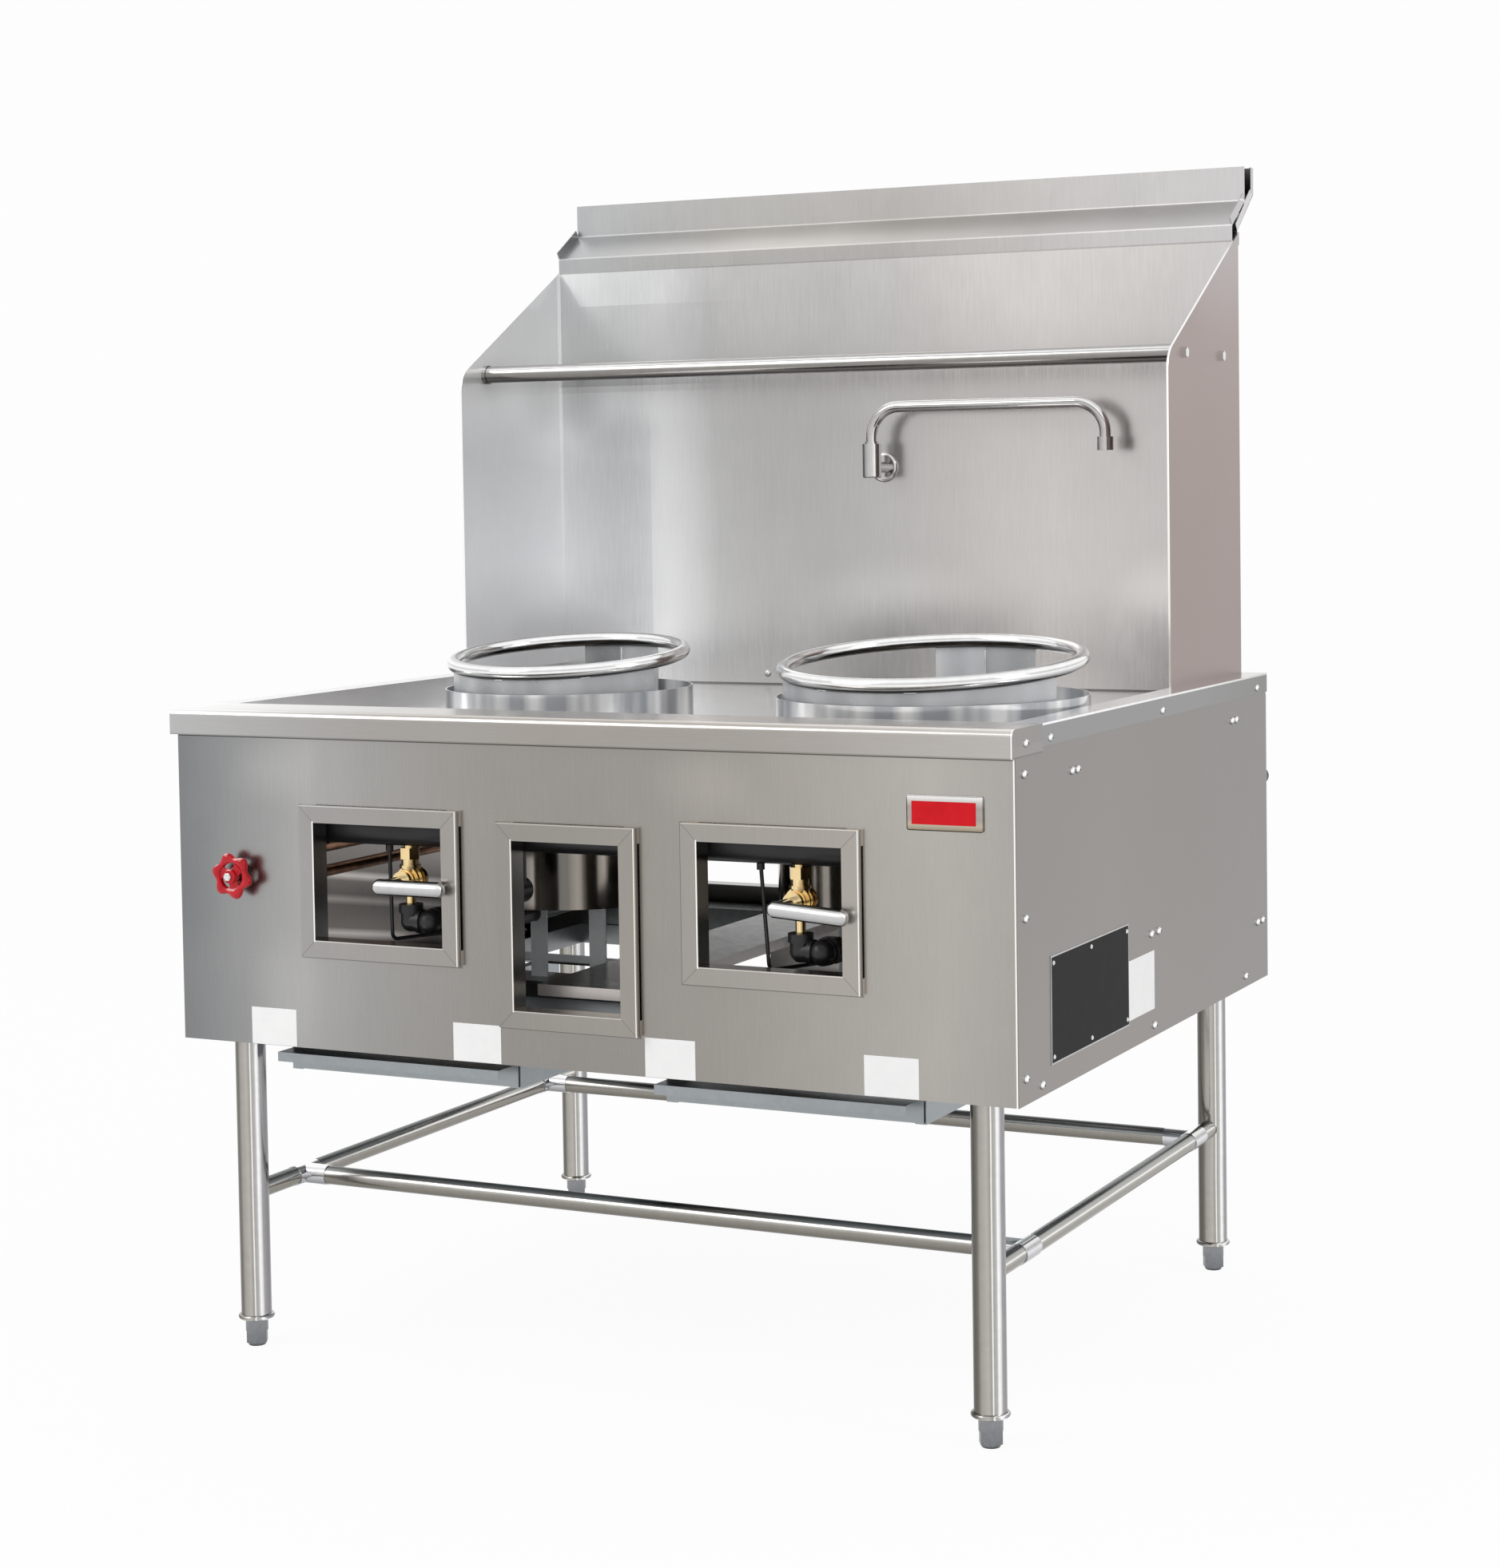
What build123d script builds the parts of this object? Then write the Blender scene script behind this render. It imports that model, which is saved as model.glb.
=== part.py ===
"""Free-standing gas wok range with two ring burners, a splash with a flue riser, and a swing spout.

Everything is measured from the front panel's outer face (y = 0, +Y to the back), from the floor
(z = 0) and from the middle of the width (x = 0). The last section sets every piece down with the
origin on the floor, under the middle of the overall depth.
"""
from build123d import *
import math
import os

os.makedirs("parts", exist_ok=True)

# ---------------------------------------------------------------- driving dimensions (mm)
body_width = 1219.0          # 48 in, over the rim
body_depth = 1000.0
body_bottom = 430.0          # lower edge of the cabinet
deck_height = 850.5          # top face of the sunk cooking deck
work_height = 880.0          # top face of the rim round it
sheet = 1.5                  # stainless sheet
rim_lip = 35.0               # height of the rolled front rail
rim_nose = 15.0              # how far it stands out in front of the panel
rim_shelf = 85.0             # its flat top, back to the sunk deck
recess_half = 570.0          # half width of the sunk deck

splash_front = 670.0         # front edge of the splash's two sides
splash_face = 971.4          # face of the splash's back sheet
splash_back = 997.3          # back of the flue riser
splash_top = 1516.0
side_top = 1530.0            # rear top corner of a splash side
side_slope = 29.9            # degrees, its slanting upper edge
cap_bend_low = 1538.6
cap_bend_high = 1578.8
cap_top = 1629.0
cap_front = 1034.8           # upright mouth of the flue, front sheet
cap_rear = 1078.0            # upright mouth of the flue, rear sheet

leg_radius = 20.65           # 1-5/8 in tube
leg_x = 543.0
leg_front = 58.0
leg_back = 929.0
leg_bottom = 37.0            # the adjustable foot shows below this
rail_radius = 12.7           # 1 in tube
rail_height = 212.0
cross_front = 176.0
cross_back = 840.0

ring_tilt = 5.1              # degrees; the wok leans towards the cook
ring_tube = 9.5
ring_rise = 83.0             # ring's centre above the deck
collar_rise = 40.5
# name: centre x, centre y, ring radius, chamber radius, chamber's floor, burner radius
burners = {
    "left": (-204.5, 358.5, 160.3, 172.9, 600.0, 50.0),
    "right": (356.0, 342.5, 196.7, 206.7, 613.0, 66.0),
}

# name: centre x, width, lowest z, highest z, over the raised frame
windows = {
    "left": (-283.5, 243.0, 554.5, 755.5),
    "center": (-0.5, 201.0, 481.0, 744.0),
    "right": (287.0, 242.0, 553.0, 754.0),
}
trim_face = 22.5             # width of the frame's front face
trim_stand = 12.0            # how far the frame stands out of the panel
trim_reach = 18.0            # depth of its return into the cabinet

manifold_y = 50.0
manifold_z = 724.0
manifold_radius = 24.15
valve_z = 655.0              # axis of the gas valves' stems
valve_x = {"left": -272.0, "right": 300.0}
elbow_z = {"left": 600.0, "right": 592.0}
pipe_drop = 14.0             # the burner pipes run this far under the chambers
pipe_radius = 10.67          # 1/2 in pipe
outlet_radius = 6.5          # nipple under a gas valve
outlet_end = 610.0
# name: top x, lowest z, and how far the tube leans to the right on its way down
pilots = {"left": (-304.0, 574.0, 2.0), "right": (246.0, 566.0, 10.0)}
lever_y = -25.0
lever_radius = 10.5
lever_length = 108.0
lever_droop = {"left": 0.0, "right": 4.0}    # degrees below level

wheel_x = -510.0
wheel_y = -19.0                # middle of the wheel's thickness
wheel_z = 657.6
wheel_radius = 31.9
hub_thickness = 13.0

spout_x = 8.0
spout_y = 925.0
spout_top = 1284.0
spout_reach = 380.0
spout_radius = 8.5           # 17 mm tube
spout_bend = 46.0
faucet_z = 1191.7

trays = {"left": (-467.0, -112.0), "right": (108.0, 463.0)}
tray_front = 50.0
tray_back = 700.0
tray_bottom = 390.0
tray_top = 417.5

side_out = body_width / 2 - sheet        # outer face of the side panels
side_in = side_out - sheet               # inner face, where the front panel fits
run = 0.05                               # radial clearance of a shaft in its hole
gap = 0.3                                # clearance of pieces that move past each other

pieces = {}


# ---------------------------------------------------------------- small makers
def block(x, y, z):
    """A box from its lowest and highest x, y and z."""
    size = Box(x[1] - x[0], y[1] - y[0], z[1] - z[0])
    return Pos((x[0] + x[1]) / 2, (y[0] + y[1]) / 2, (z[0] + z[1]) / 2) * size


def bar_x(y, z, radius, x0, x1):
    return Pos((x0 + x1) / 2, y, z) * Rot(0, 90, 0) * Cylinder(radius, x1 - x0)


def bar_y(x, z, radius, y0, y1):
    return Pos(x, (y0 + y1) / 2, z) * Rot(90, 0, 0) * Cylinder(radius, y1 - y0)


def bar_z(x, y, radius, z0, z1):
    return Pos(x, y, (z0 + z1) / 2) * Cylinder(radius, z1 - z0)


def hexagon(across_flats, length):
    """A hexagonal prism along +Z from the origin."""
    return extrude(RegularPolygon(across_flats / 2, 6, major_radius=False), length)


def folded(points, thickness):
    """The section of a folded sheet. The points are one skin; the other lies to their left."""
    other = []
    last = len(points) - 1
    for i, (a, b) in enumerate(points):
        normals = []
        for j in (i - 1, i):
            if 0 <= j < last:
                run_a = points[j + 1][0] - points[j][0]
                run_b = points[j + 1][1] - points[j][1]
                length = math.hypot(run_a, run_b)
                normals.append((-run_b / length, run_a / length))
        n0, n1 = normals[0], normals[-1]
        mitre = thickness / (1 + n0[0] * n1[0] + n0[1] * n1[1])
        other.append((a + (n0[0] + n1[0]) * mitre, b + (n0[1] + n1[1]) * mitre))
    return make_face(Polyline(*points, *reversed(other), close=True))


def along_x(face, x0, x1):
    """A section drawn in Y and Z, drawn out along X."""
    return Pos(x0, 0, 0) * extrude(Plane.YZ * face, x1 - x0)


def along_y(face, y0, y1):
    """A section drawn in X and Z, drawn out along Y."""
    return Pos(0, y0, 0) * extrude(Plane.XZ * face, -(y1 - y0))


def pipe(points, radius, bend):
    """A round bar bent along the points, with one bend radius."""
    path = FilletPolyline(*points, radius=bend)
    section = Plane(origin=path @ 0, z_dir=path % 0) * Circle(radius)
    return sweep(section, path)


def both_sides(shape):
    """The shape and its mirror image on the other side of the width."""
    return shape, mirror(shape, Plane.YZ)


# ---------------------------------------------------------------- cabinet
def window_opening(name, grow=0.0):
    """Lowest and highest x and z of the clear opening inside a window's frame."""
    centre, width, low, high = windows[name]
    half = width / 2 - trim_face + grow
    return (centre - half, centre + half), (low + trim_face - grow, high - trim_face + grow)


def front_panel():
    """Sheet with three windows and a hole for the water valve, folded back at its edges."""
    panel = block((-side_in, side_in), (0, sheet), (body_bottom, work_height - sheet))
    for side in (-1, 1):
        edge = sorted((side * side_in, side * (side_in - sheet)))
        panel += block(edge, (sheet, 40), (body_bottom + 6, 840))
    panel += block((-side_in, side_in), (sheet, 25), (body_bottom, body_bottom + sheet))
    for name in windows:
        x, z = window_opening(name, sheet + gap)
        panel -= block(x, (-1, 5), z)
    return panel - bar_y(wheel_x, wheel_z, 12.5, -1, 5)


def window_trim(name):
    """Raised frame: a face, an outer return that meets the panel at its corners, and a deep inner one."""
    centre, width, low, high = windows[name]
    x = (centre - width / 2, centre + width / 2)
    z = (low, high)
    inner_x, inner_z = window_opening(name)
    tab = 20.0
    shy = 3.0
    shell = block(x, (-trim_stand, 0), z)
    hollow_x = (x[0] + sheet, x[1] - sheet)
    hollow_z = (z[0] + sheet, z[1] - sheet)
    shell -= block(hollow_x, (-trim_stand + sheet, 1), hollow_z)
    shell -= block((x[0] - 1, x[1] + 1), (-shy, 1), (z[0] + tab, z[1] - tab))
    shell -= block((x[0] + tab, x[1] - tab), (-shy, 1), (z[0] - 1, z[1] + 1))
    outer_x, outer_z = window_opening(name, sheet)
    lining = block(outer_x, (-trim_stand + 0.5, trim_reach), outer_z)
    return shell + lining - block(inner_x, (-trim_stand - 1, trim_reach + 1), inner_z)


def side_panel():
    """Right-hand side: a sheet with a flange folded in along the bottom."""
    panel = block((side_in, side_out), (0, body_depth - sheet), (body_bottom, work_height - sheet))
    return panel + block((side_in - 25, side_in), (27, 970), (body_bottom, body_bottom + sheet))


def rear_panel():
    """Sheet with flanges, a wide service opening, and holes for the gas and water connections."""
    inside = body_depth - sheet
    panel = block((-side_out, side_out), (inside, body_depth), (body_bottom, deck_height - 2 * sheet))
    panel += block((-560, 560), (inside - 25, inside), (body_bottom, body_bottom + sheet))
    for side in (-1, 1):
        edge = sorted((side * side_in, side * (side_in - sheet)))
        panel += block(edge, (inside - 25, inside), (body_bottom + 6, 840))
    panel -= block((-service_half, service_half), (990, 1010), service_z)
    shelf_z = (service_z[0] - sheet, service_z[0])
    panel += block((-service_half, service_half), (inside - 29, inside + 0.5), shelf_z)
    panel -= bar_y(gas_inlet_x, manifold_z, gas_inlet_radius + 1, 990, 1010)
    return panel - bar_y(-gas_inlet_x, wheel_z, pipe_radius + 1, 990, 1010)


service_half = 560.0
service_z = (527.0, 684.0)
gas_inlet_x = 589.0
gas_inlet_radius = 13.34     # 3/4 in pipe
inlet_end = 1032.0           # both pipes stand out behind the cabinet
thread_length = 20.0
gas_thread = 12.9            # the threaded ends are a little thinner
water_thread = 10.1

frame_z = (body_bottom + sheet, body_bottom + sheet + 3.0)
frame_inner = 506.5
socket_top = 480.0


def leg_places():
    for y_name, y in (("front", leg_front), ("rear", leg_back)):
        for x_name, x in (("left", -leg_x), ("right", leg_x)):
            yield y_name + "_" + x_name, x, y


def base_frame():
    """Folded bottom frame: a flat ring, an upstand round its opening, and a socket for each leg."""
    low_y, high_y = 101.5, body_depth - 101.5
    frame = block((-side_in, side_in), (sheet, body_depth - sheet), frame_z)
    opening = block((-frame_inner, frame_inner), (low_y, high_y), (420, 450))
    upstand_z = (frame_z[1], frame_z[1] + 28)
    upstand = block((-frame_inner - 3, frame_inner + 3), (low_y - 3, high_y + 3), upstand_z)
    frame = frame + upstand - opening - block((-frame_inner, frame_inner), (low_y, high_y), (440, 480))
    frame += block((-frame_inner, frame_inner), (700, 760), frame_z)
    for name, x, y in leg_places():
        frame += bar_z(x, y, 25, frame_z[1], socket_top)
        frame -= bar_z(x, y, leg_radius + run, 420, 500)
    return frame


def top_deck():
    """One folded sheet: outer skirts, side ledges, the sunk deck, and two holes for the chambers."""
    outer = body_width / 2
    skin = [(-outer, 852), (-outer, work_height), (-recess_half, work_height), (-recess_half, deck_height),
            (recess_half, deck_height), (recess_half, work_height), (outer, work_height), (outer, 852)]
    deck = along_y(folded(skin[::-1], sheet), rim_shelf, body_depth)
    for x, y, ring, chamber, bottom, jets in burners.values():
        deck -= bar_z(x, y, chamber + 0.1, 840, 860)
    return deck - block((-566, 566), (splash_face + 3.5, splash_back - sheet), (840, 860))


def front_rail():
    """Rolled front rail with a flat top, closed by a rounded plate at each end."""
    nose_radius = 10.0
    bottom = work_height - rim_lip
    skin = [(0, bottom), (-rim_nose, bottom), (-rim_nose, work_height), (rim_shelf, work_height),
            (rim_shelf, deck_height)]
    rail = along_x(folded(skin[::-1], sheet), -side_out, side_out)
    inner_nose = (work_height - sheet, sheet - rim_nose, nose_radius - sheet)
    for z, y, radius in (inner_nose, (work_height, -rim_nose, nose_radius)):
        corner = rail.edges().filter_by(Axis.X).filter_by_position(Axis.Z, z - 0.1, z + 0.1)
        rail = fillet(corner.filter_by_position(Axis.Y, y - 0.1, y + 0.1), radius)
    for side in (-1, 1):
        edge = sorted((side * side_in, side * side_out))
        rail -= block(edge, (0, rim_shelf + 1), (840, work_height - sheet))
    plate = block((side_out, body_width / 2), (-rim_nose, rim_shelf), (bottom, work_height))
    corner = plate.edges().filter_by(Axis.X).filter_by_position(Axis.Y, -rim_nose - 0.1, -rim_nose + 0.1)
    plate = fillet(corner.filter_by_position(Axis.Z, work_height - 0.1, work_height + 0.1), nose_radius)
    for end in both_sides(plate):
        rail += end
    return rail


pieces["front_panel"] = front_panel()
for name in windows:
    pieces[name + "_window_trim"] = window_trim(name)
pieces["right_side_panel"], pieces["left_side_panel"] = both_sides(side_panel())
pieces["rear_panel"] = rear_panel()
pieces["base_frame"] = base_frame()
pieces["top_deck"] = top_deck()
pieces["front_rail"] = front_rail()

# ---------------------------------------------------------------- splash, flue riser and pipe rack
rack_y = 742.0
rack_z = 1345.0
rack_radius = 12.7
rack_bolt_y = (rack_y, 910.0)
cap_half = recess_half - 0.2     # half width of the flue's mouth
cap_flange = 12.0


def splash_side():
    """Right-hand side: slanting top, rounded front corner, and a hem along both free edges."""
    corner_z = side_top - (splash_back - splash_front) * math.tan(math.radians(side_slope))
    outline = Polyline((splash_front, work_height), (splash_front, corner_z), (splash_back, side_top),
                       (splash_back, work_height), close=True)
    face = make_face(outline)
    face = fillet(face.vertices().sort_by_distance((splash_front, corner_z))[0], 40)
    hem = 9.0
    band = face - Pos(hem, -hem * 1.5, 0) * face
    side = along_x(face, recess_half, recess_half + sheet)
    side += along_x(band, recess_half + sheet, recess_half + 2 * sheet)
    for y in rack_bolt_y:
        side -= bar_x(y, rack_z, 4.1, recess_half - 1, recess_half + 5)
    return side


def splash_panel():
    """Back sheet of the splash, with the faucet's hole."""
    panel = block((-recess_half, recess_half), (splash_face, splash_face + sheet), (deck_height, splash_top))
    return panel - bar_y(spout_x, faucet_z, 9, 960, 980)


def flue_cap_front():
    """Folded front sheet of the flue's mouth, lapped behind the splash; its slope has end flanges."""
    low = splash_face + sheet
    skin = [(low, splash_top - 16), (low, cap_bend_low), (cap_front, cap_bend_high), (cap_front, cap_top)]
    cap = along_x(folded(skin[::-1], sheet), -cap_half, cap_half)
    run_y, run_z = cap_front - low, cap_bend_high - cap_bend_low
    slope = math.hypot(run_y, run_z)
    corners = []
    for y, z, height in ((low, cap_bend_low, -1), (cap_front, cap_bend_high, -1),
                         (cap_front, cap_bend_high, cap_flange), (low, cap_bend_low, cap_flange)):
        corners.append((y - height * run_z / slope, z + height * run_y / slope))
    flange = along_x(make_face(Polyline(*corners, close=True)), cap_half - sheet, cap_half)
    for end in both_sides(flange):
        cap += end
    return cap


def flue_cap_rear():
    """Folded rear sheet of the flue's mouth, with end flanges and the spacers between the two sheets."""
    skin = [(splash_back, 1500), (splash_back, side_top + 1), (cap_rear, 1591), (cap_rear, cap_top + 1)]
    cap = along_x(folded(skin[::-1], sheet), -cap_half, cap_half)
    flange_y = (cap_rear - cap_flange, cap_rear + 0.5)
    for end in both_sides(block((cap_half - sheet, cap_half), flange_y, (1592, cap_top + 1))):
        cap += end
    for x in (-450, -150, 150, 450):
        cap += block((x - 10, x + 10), (cap_front + sheet, cap_rear + 0.5), (1605, 1605 + sheet))
    return cap


def rack_rod():
    """Tube of the rack, with a solid threaded plug and a collar at each end."""
    half = recess_half - 0.1
    rod = bar_x(rack_y, rack_z, rack_radius, -half, half)
    rod -= bar_x(rack_y, rack_z, rack_radius - sheet, -half + 20, half - 20)
    rod -= bar_x(rack_y, rack_z, 4.1, -half - 1, -half + 30)
    rod -= bar_x(rack_y, rack_z, 4.1, half - 30, half + 1)
    for end in both_sides(bar_x(rack_y, rack_z, 14.5, half - 6, half)):
        rod += end - bar_x(rack_y, rack_z, rack_radius - 1, -half - 1, half + 1)
    return rod


def rack_bolts():
    """Hex bolts through the splash sides: into the rod, and behind it with a nut inside."""
    outside = recess_half + sheet
    bolts = []
    for y in rack_bolt_y:
        head = Pos(outside, y, rack_z) * Rot(0, 90, 0) * hexagon(13, 5.5)
        deep = 22.0 if y == rack_y else 9.0
        bolt = head + bar_x(y, rack_z, 4.0, outside - deep, outside + 1)
        if y != rack_y:
            bolt += Pos(recess_half - 6.5, y, rack_z) * Rot(0, 90, 0) * hexagon(13, 6.5)
        bolts += both_sides(bolt)
    return Compound(children=bolts)


pieces["right_splash_side"], pieces["left_splash_side"] = both_sides(splash_side())
pieces["splash_panel"] = splash_panel()
back_y = (splash_back - sheet, splash_back)
pieces["flue_back_sheet"] = block((-recess_half, recess_half), back_y, (deck_height, side_top))
pieces["flue_cap_front"] = flue_cap_front()
pieces["flue_cap_rear"] = flue_cap_rear()
pieces["rack_rod"] = rack_rod()
pieces["rack_bolts"] = rack_bolts()

# ---------------------------------------------------------------- wok burners
duct_half = 60.0
duct_z = (700.0, 780.0)
ledge_z = 760.0              # a ring inside the chamber carries the sleeve
slant = math.tan(math.radians(ring_tilt))


def chamber(x, y, radius, sleeve_radius, bottom, throat):
    """Sheet drum that hangs through the deck, with a floor, an inner ledge and a flue outlet."""
    top = deck_height + collar_rise
    drum = bar_z(x, y, radius, bottom, top) - bar_z(x, y, radius - sheet, bottom + sheet, top + 1)
    drum -= bar_z(x, y, throat, bottom - 1, bottom + 5)
    ledge = bar_z(x, y, radius - 0.5, ledge_z - sheet, ledge_z) - bar_z(x, y, sleeve_radius - 12, 700, 800)
    flange = bar_z(x, y, radius + 15, deck_height - 2 * sheet, deck_height - sheet)
    flange -= bar_z(x, y, radius - 0.5, 840, 860)
    duct_x = (x - duct_half + sheet, x + duct_half - sheet)
    outlet = block(duct_x, (y, y + radius + 10), (duct_z[0] + sheet, duct_z[1] - sheet))
    return drum + ledge + flange - outlet


def sleeve(x, y, radius):
    """Thin cylinder under the ring, cut aslant to follow it and open at both sides towards the back."""
    skin = 1.2
    foot = ledge_z
    top = deck_height + ring_rise - ring_tube - 0.1
    tube = bar_z(x, y, radius + skin / 2, foot, top + 60) - bar_z(x, y, radius - skin / 2, foot - 1, top + 61)
    reach = radius + 20
    wedge = Polyline((y - reach, top - reach * slant), (y + reach, top + reach * slant),
                     (y + reach, top + 120), (y - reach, top + 120), close=True)
    tube -= along_x(make_face(wedge), x - reach, x + reach)
    shield = math.radians(76)
    back = math.radians(158)
    for side in (-1, 1):
        notch = Polyline((x, y), (x + side * 400 * math.sin(shield), y - 400 * math.cos(shield)),
                         (x + side * 500, y + 300),
                         (x + side * 400 * math.sin(back), y - 400 * math.cos(back)), close=True)
        tube -= Pos(0, 0, deck_height + 20) * extrude(make_face(notch), 200)
    return tube


def burner_head(x, y, bottom, radius):
    """Cast gas chamber with rings of hex jets round a centre one, on a feed from below."""
    low = bottom + 12
    head = bar_z(x, y, radius, low, low + 22)
    head = chamfer(head.edges().filter_by(GeomType.CIRCLE).group_by(Axis.Z)[-1], 4)
    head += bar_z(x, y, 15, bottom + 3, low)
    head -= bar_z(x, y, pipe_radius + run, bottom, low + 4)
    rings = [(0.0, 1), (radius * 0.42, 6), (radius * 0.8, 12)]
    for jet_ring, count in rings:
        for i in range(count):
            turn = 2 * math.pi * i / count
            jet_x = x + jet_ring * math.cos(turn)
            jet_y = y + jet_ring * math.sin(turn)
            head += Pos(jet_x, jet_y, low + 21) * hexagon(10, 17)
    return head


cradle_y = 250.0
carrier_top = 499.0
carrier_y = (215.0, 285.0)


def burner_cradle(x, bottom):
    """Three flat uprights under a chamber's front, with a bar between them."""
    half = 13.0
    uprights = (-85.0, 7.5, 100.0)
    y = (cradle_y, cradle_y + 2)
    cradle = block((x + uprights[0], x + uprights[-1]), y, (521, 531))
    for offset in uprights:
        centre = x + offset
        edge = (centre - half, centre + half)
        cradle += block(edge, y, (carrier_top, bottom))
        cradle += block(edge, (cradle_y, cradle_y + 20), (carrier_top, carrier_top + 2))
        cradle += block(edge, (cradle_y, cradle_y + 20), (bottom - 2, bottom))
    return cradle - bar_y(x, bottom - pipe_drop, pipe_radius + 1, cradle_y - 1, cradle_y + 25)


def burner_carrier():
    """Galvanized bridge across the cabinet, standing on the bottom frame."""
    reach = 600.0
    skin = [(-reach + 30, frame_z[1]), (-reach, frame_z[1]), (-reach, carrier_top), (reach, carrier_top),
            (reach, frame_z[1]), (reach - 30, frame_z[1])]
    bridge = along_y(folded(skin[::-1], 2.0), *carrier_y)
    for y in (carrier_y[0], carrier_y[1] - 2):
        bridge += block((-reach + 4, reach - 4), (y, y + 2), (carrier_top - 22, carrier_top - 1))
    return bridge


def center_shelf():
    """Drip shield behind the middle window: a long plate with lips, on the carrier and on a rear foot."""
    x = (-86.0, 44.0)
    y = (60.0, 740.0)
    top = 526.0
    lip = top - 15
    inner_x = (x[0] + sheet, x[1] - sheet)
    shelf = block(x, y, (lip, top)) + block(x, carrier_y, (carrier_top, lip))
    shelf -= block(inner_x, (y[0] + sheet, y[1] - sheet), (carrier_top - 1, top - sheet))
    return shelf + block(x, (y[1] - sheet, y[1]), (frame_z[1], top))


def rear_channel():
    """Channel across the back of the bottom frame, over the rear leg sockets."""
    y0, y1 = 902.0, 969.0
    reach = 600.0
    skin = [(y0, frame_z[1]), (y0, 499), (y1, 499), (y1, frame_z[1])]
    return along_x(folded(skin[::-1], sheet), -reach, reach)


def flue_box():
    """Collector under the deck behind the chambers, with a duct from each one."""
    y = (splash_face + sheet + 0.6, body_depth - sheet - 3)
    x = (-400.0, 566.0)
    z = (690.0, deck_height - sheet)
    inner_y = (y[0] + sheet, y[1] - sheet)
    box = block(x, y, z) - block((x[0] + sheet, x[1] - sheet), inner_y, (z[0] + sheet, z[1] + 1))
    for bx, by, ring, radius, bottom, jets in burners.values():
        duct = block((bx - duct_half, bx + duct_half), (by + radius - 40, y[0] + 0.5), duct_z)
        duct -= bar_z(bx, by, radius + 0.1, 650, 850)
        box += duct
        box -= block((bx - duct_half + sheet, bx + duct_half - sheet), (by + radius - 60, y[0] + sheet + 0.5),
                     (duct_z[0] + sheet, duct_z[1] - sheet))
    return box


for name, (x, y, ring, radius, bottom, jets) in burners.items():
    pieces[name + "_chamber"] = chamber(x, y, radius, ring, bottom, jets + 24)
    pieces[name + "_sleeve"] = sleeve(x, y, ring)
    tilted = Pos(x, y, deck_height + ring_rise) * Rot(ring_tilt, 0, 0)
    pieces[name + "_wok_ring"] = tilted * Torus(ring, ring_tube)
    pieces[name + "_burner"] = burner_head(x, y, bottom, jets)
cradles = [burner_cradle(x, bottom) for x, y, ring, radius, bottom, jets in burners.values()]
pieces["burner_cradles"] = Compound(children=cradles)
pieces["burner_carrier"] = burner_carrier()
pieces["center_shelf"] = center_shelf()
pieces["rear_channel"] = rear_channel()
pieces["flue_box"] = flue_box()


# ---------------------------------------------------------------- gas train
elbow_x = 30.0               # the burner pipe starts this far beside the valve


def gas_manifold():
    """Iron main across the front with hex caps, a drip leg, and the inlet pipe out at the back."""
    start, end = -420.0, 555.0
    main = bar_x(manifold_y, manifold_z, manifold_radius, start, end)
    main += bar_x(manifold_y, manifold_z, manifold_radius + 4, start - 6, start + 14)
    main += bar_x(manifold_y, manifold_z, manifold_radius + 4, end - 12, end + 3)
    shoulder = inlet_end - thread_length
    inlet = [(end, manifold_y, manifold_z), (gas_inlet_x, manifold_y, manifold_z),
             (gas_inlet_x, shoulder, manifold_z)]
    main += pipe(inlet, gas_inlet_radius, 30)
    main += bar_y(gas_inlet_x, manifold_z, gas_thread, shoulder - 1, inlet_end)
    drop_x = -110.0
    main += bar_z(drop_x, manifold_y, 14, 648, manifold_z)
    main += bar_y(drop_x, 648, 17, manifold_y - 22, manifold_y + 16)
    main += bar_y(drop_x, 648, 21, manifold_y - 30, manifold_y - 12)
    return main


def gas_valve(x):
    """Brass plug valve: hex nipple, neck, cross barrel with collars and a front cap, and outlet."""
    y = manifold_y
    top = manifold_z - manifold_radius
    neck = bar_z(x, y, 11.5, valve_z - 6, top - 16) + bar_z(x, y, 14, 671, 675)
    neck += Pos(x, y, top - 17) * hexagon(24, 15)
    neck += bar_z(x, y, 8, top - 4, top + 1) - bar_x(y, manifold_z, manifold_radius + 0.02, x - 20, x + 20)
    barrel = bar_y(x, valve_z, 15, y - 15, y + 20) + bar_y(x, valve_z, 13.5, y - 23, y - 14)
    for collar in (-8, 2.5, 10):
        barrel += bar_y(x, valve_z, 17.5, y + collar, y + collar + 3.5)
    outlet = bar_z(x, y, outlet_radius, outlet_end, valve_z + 4)
    body = neck + barrel + outlet
    return body - bar_y(x, valve_z, 6.0 + run, y - 30, y - 2)


def lever(x, droop):
    """Round bar bent like an L: a stem out of the valve, and a handle about level when the gas is off."""
    low = x - 8
    cap_face = manifold_y - 23
    stem = bar_y(x, valve_z, 6.0, cap_face - 2, manifold_y - 4)
    stem += bar_y(x, valve_z, 7.8, lever_y, cap_face - gap)
    handle = bar_x(lever_y, valve_z, lever_radius, low, low + lever_length)
    handle = fillet(handle.edges().filter_by(GeomType.CIRCLE), lever_radius - 0.5)
    return (stem + handle).rotate(Axis((x, 0, valve_z), (0, 1, 0)), droop)


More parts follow.
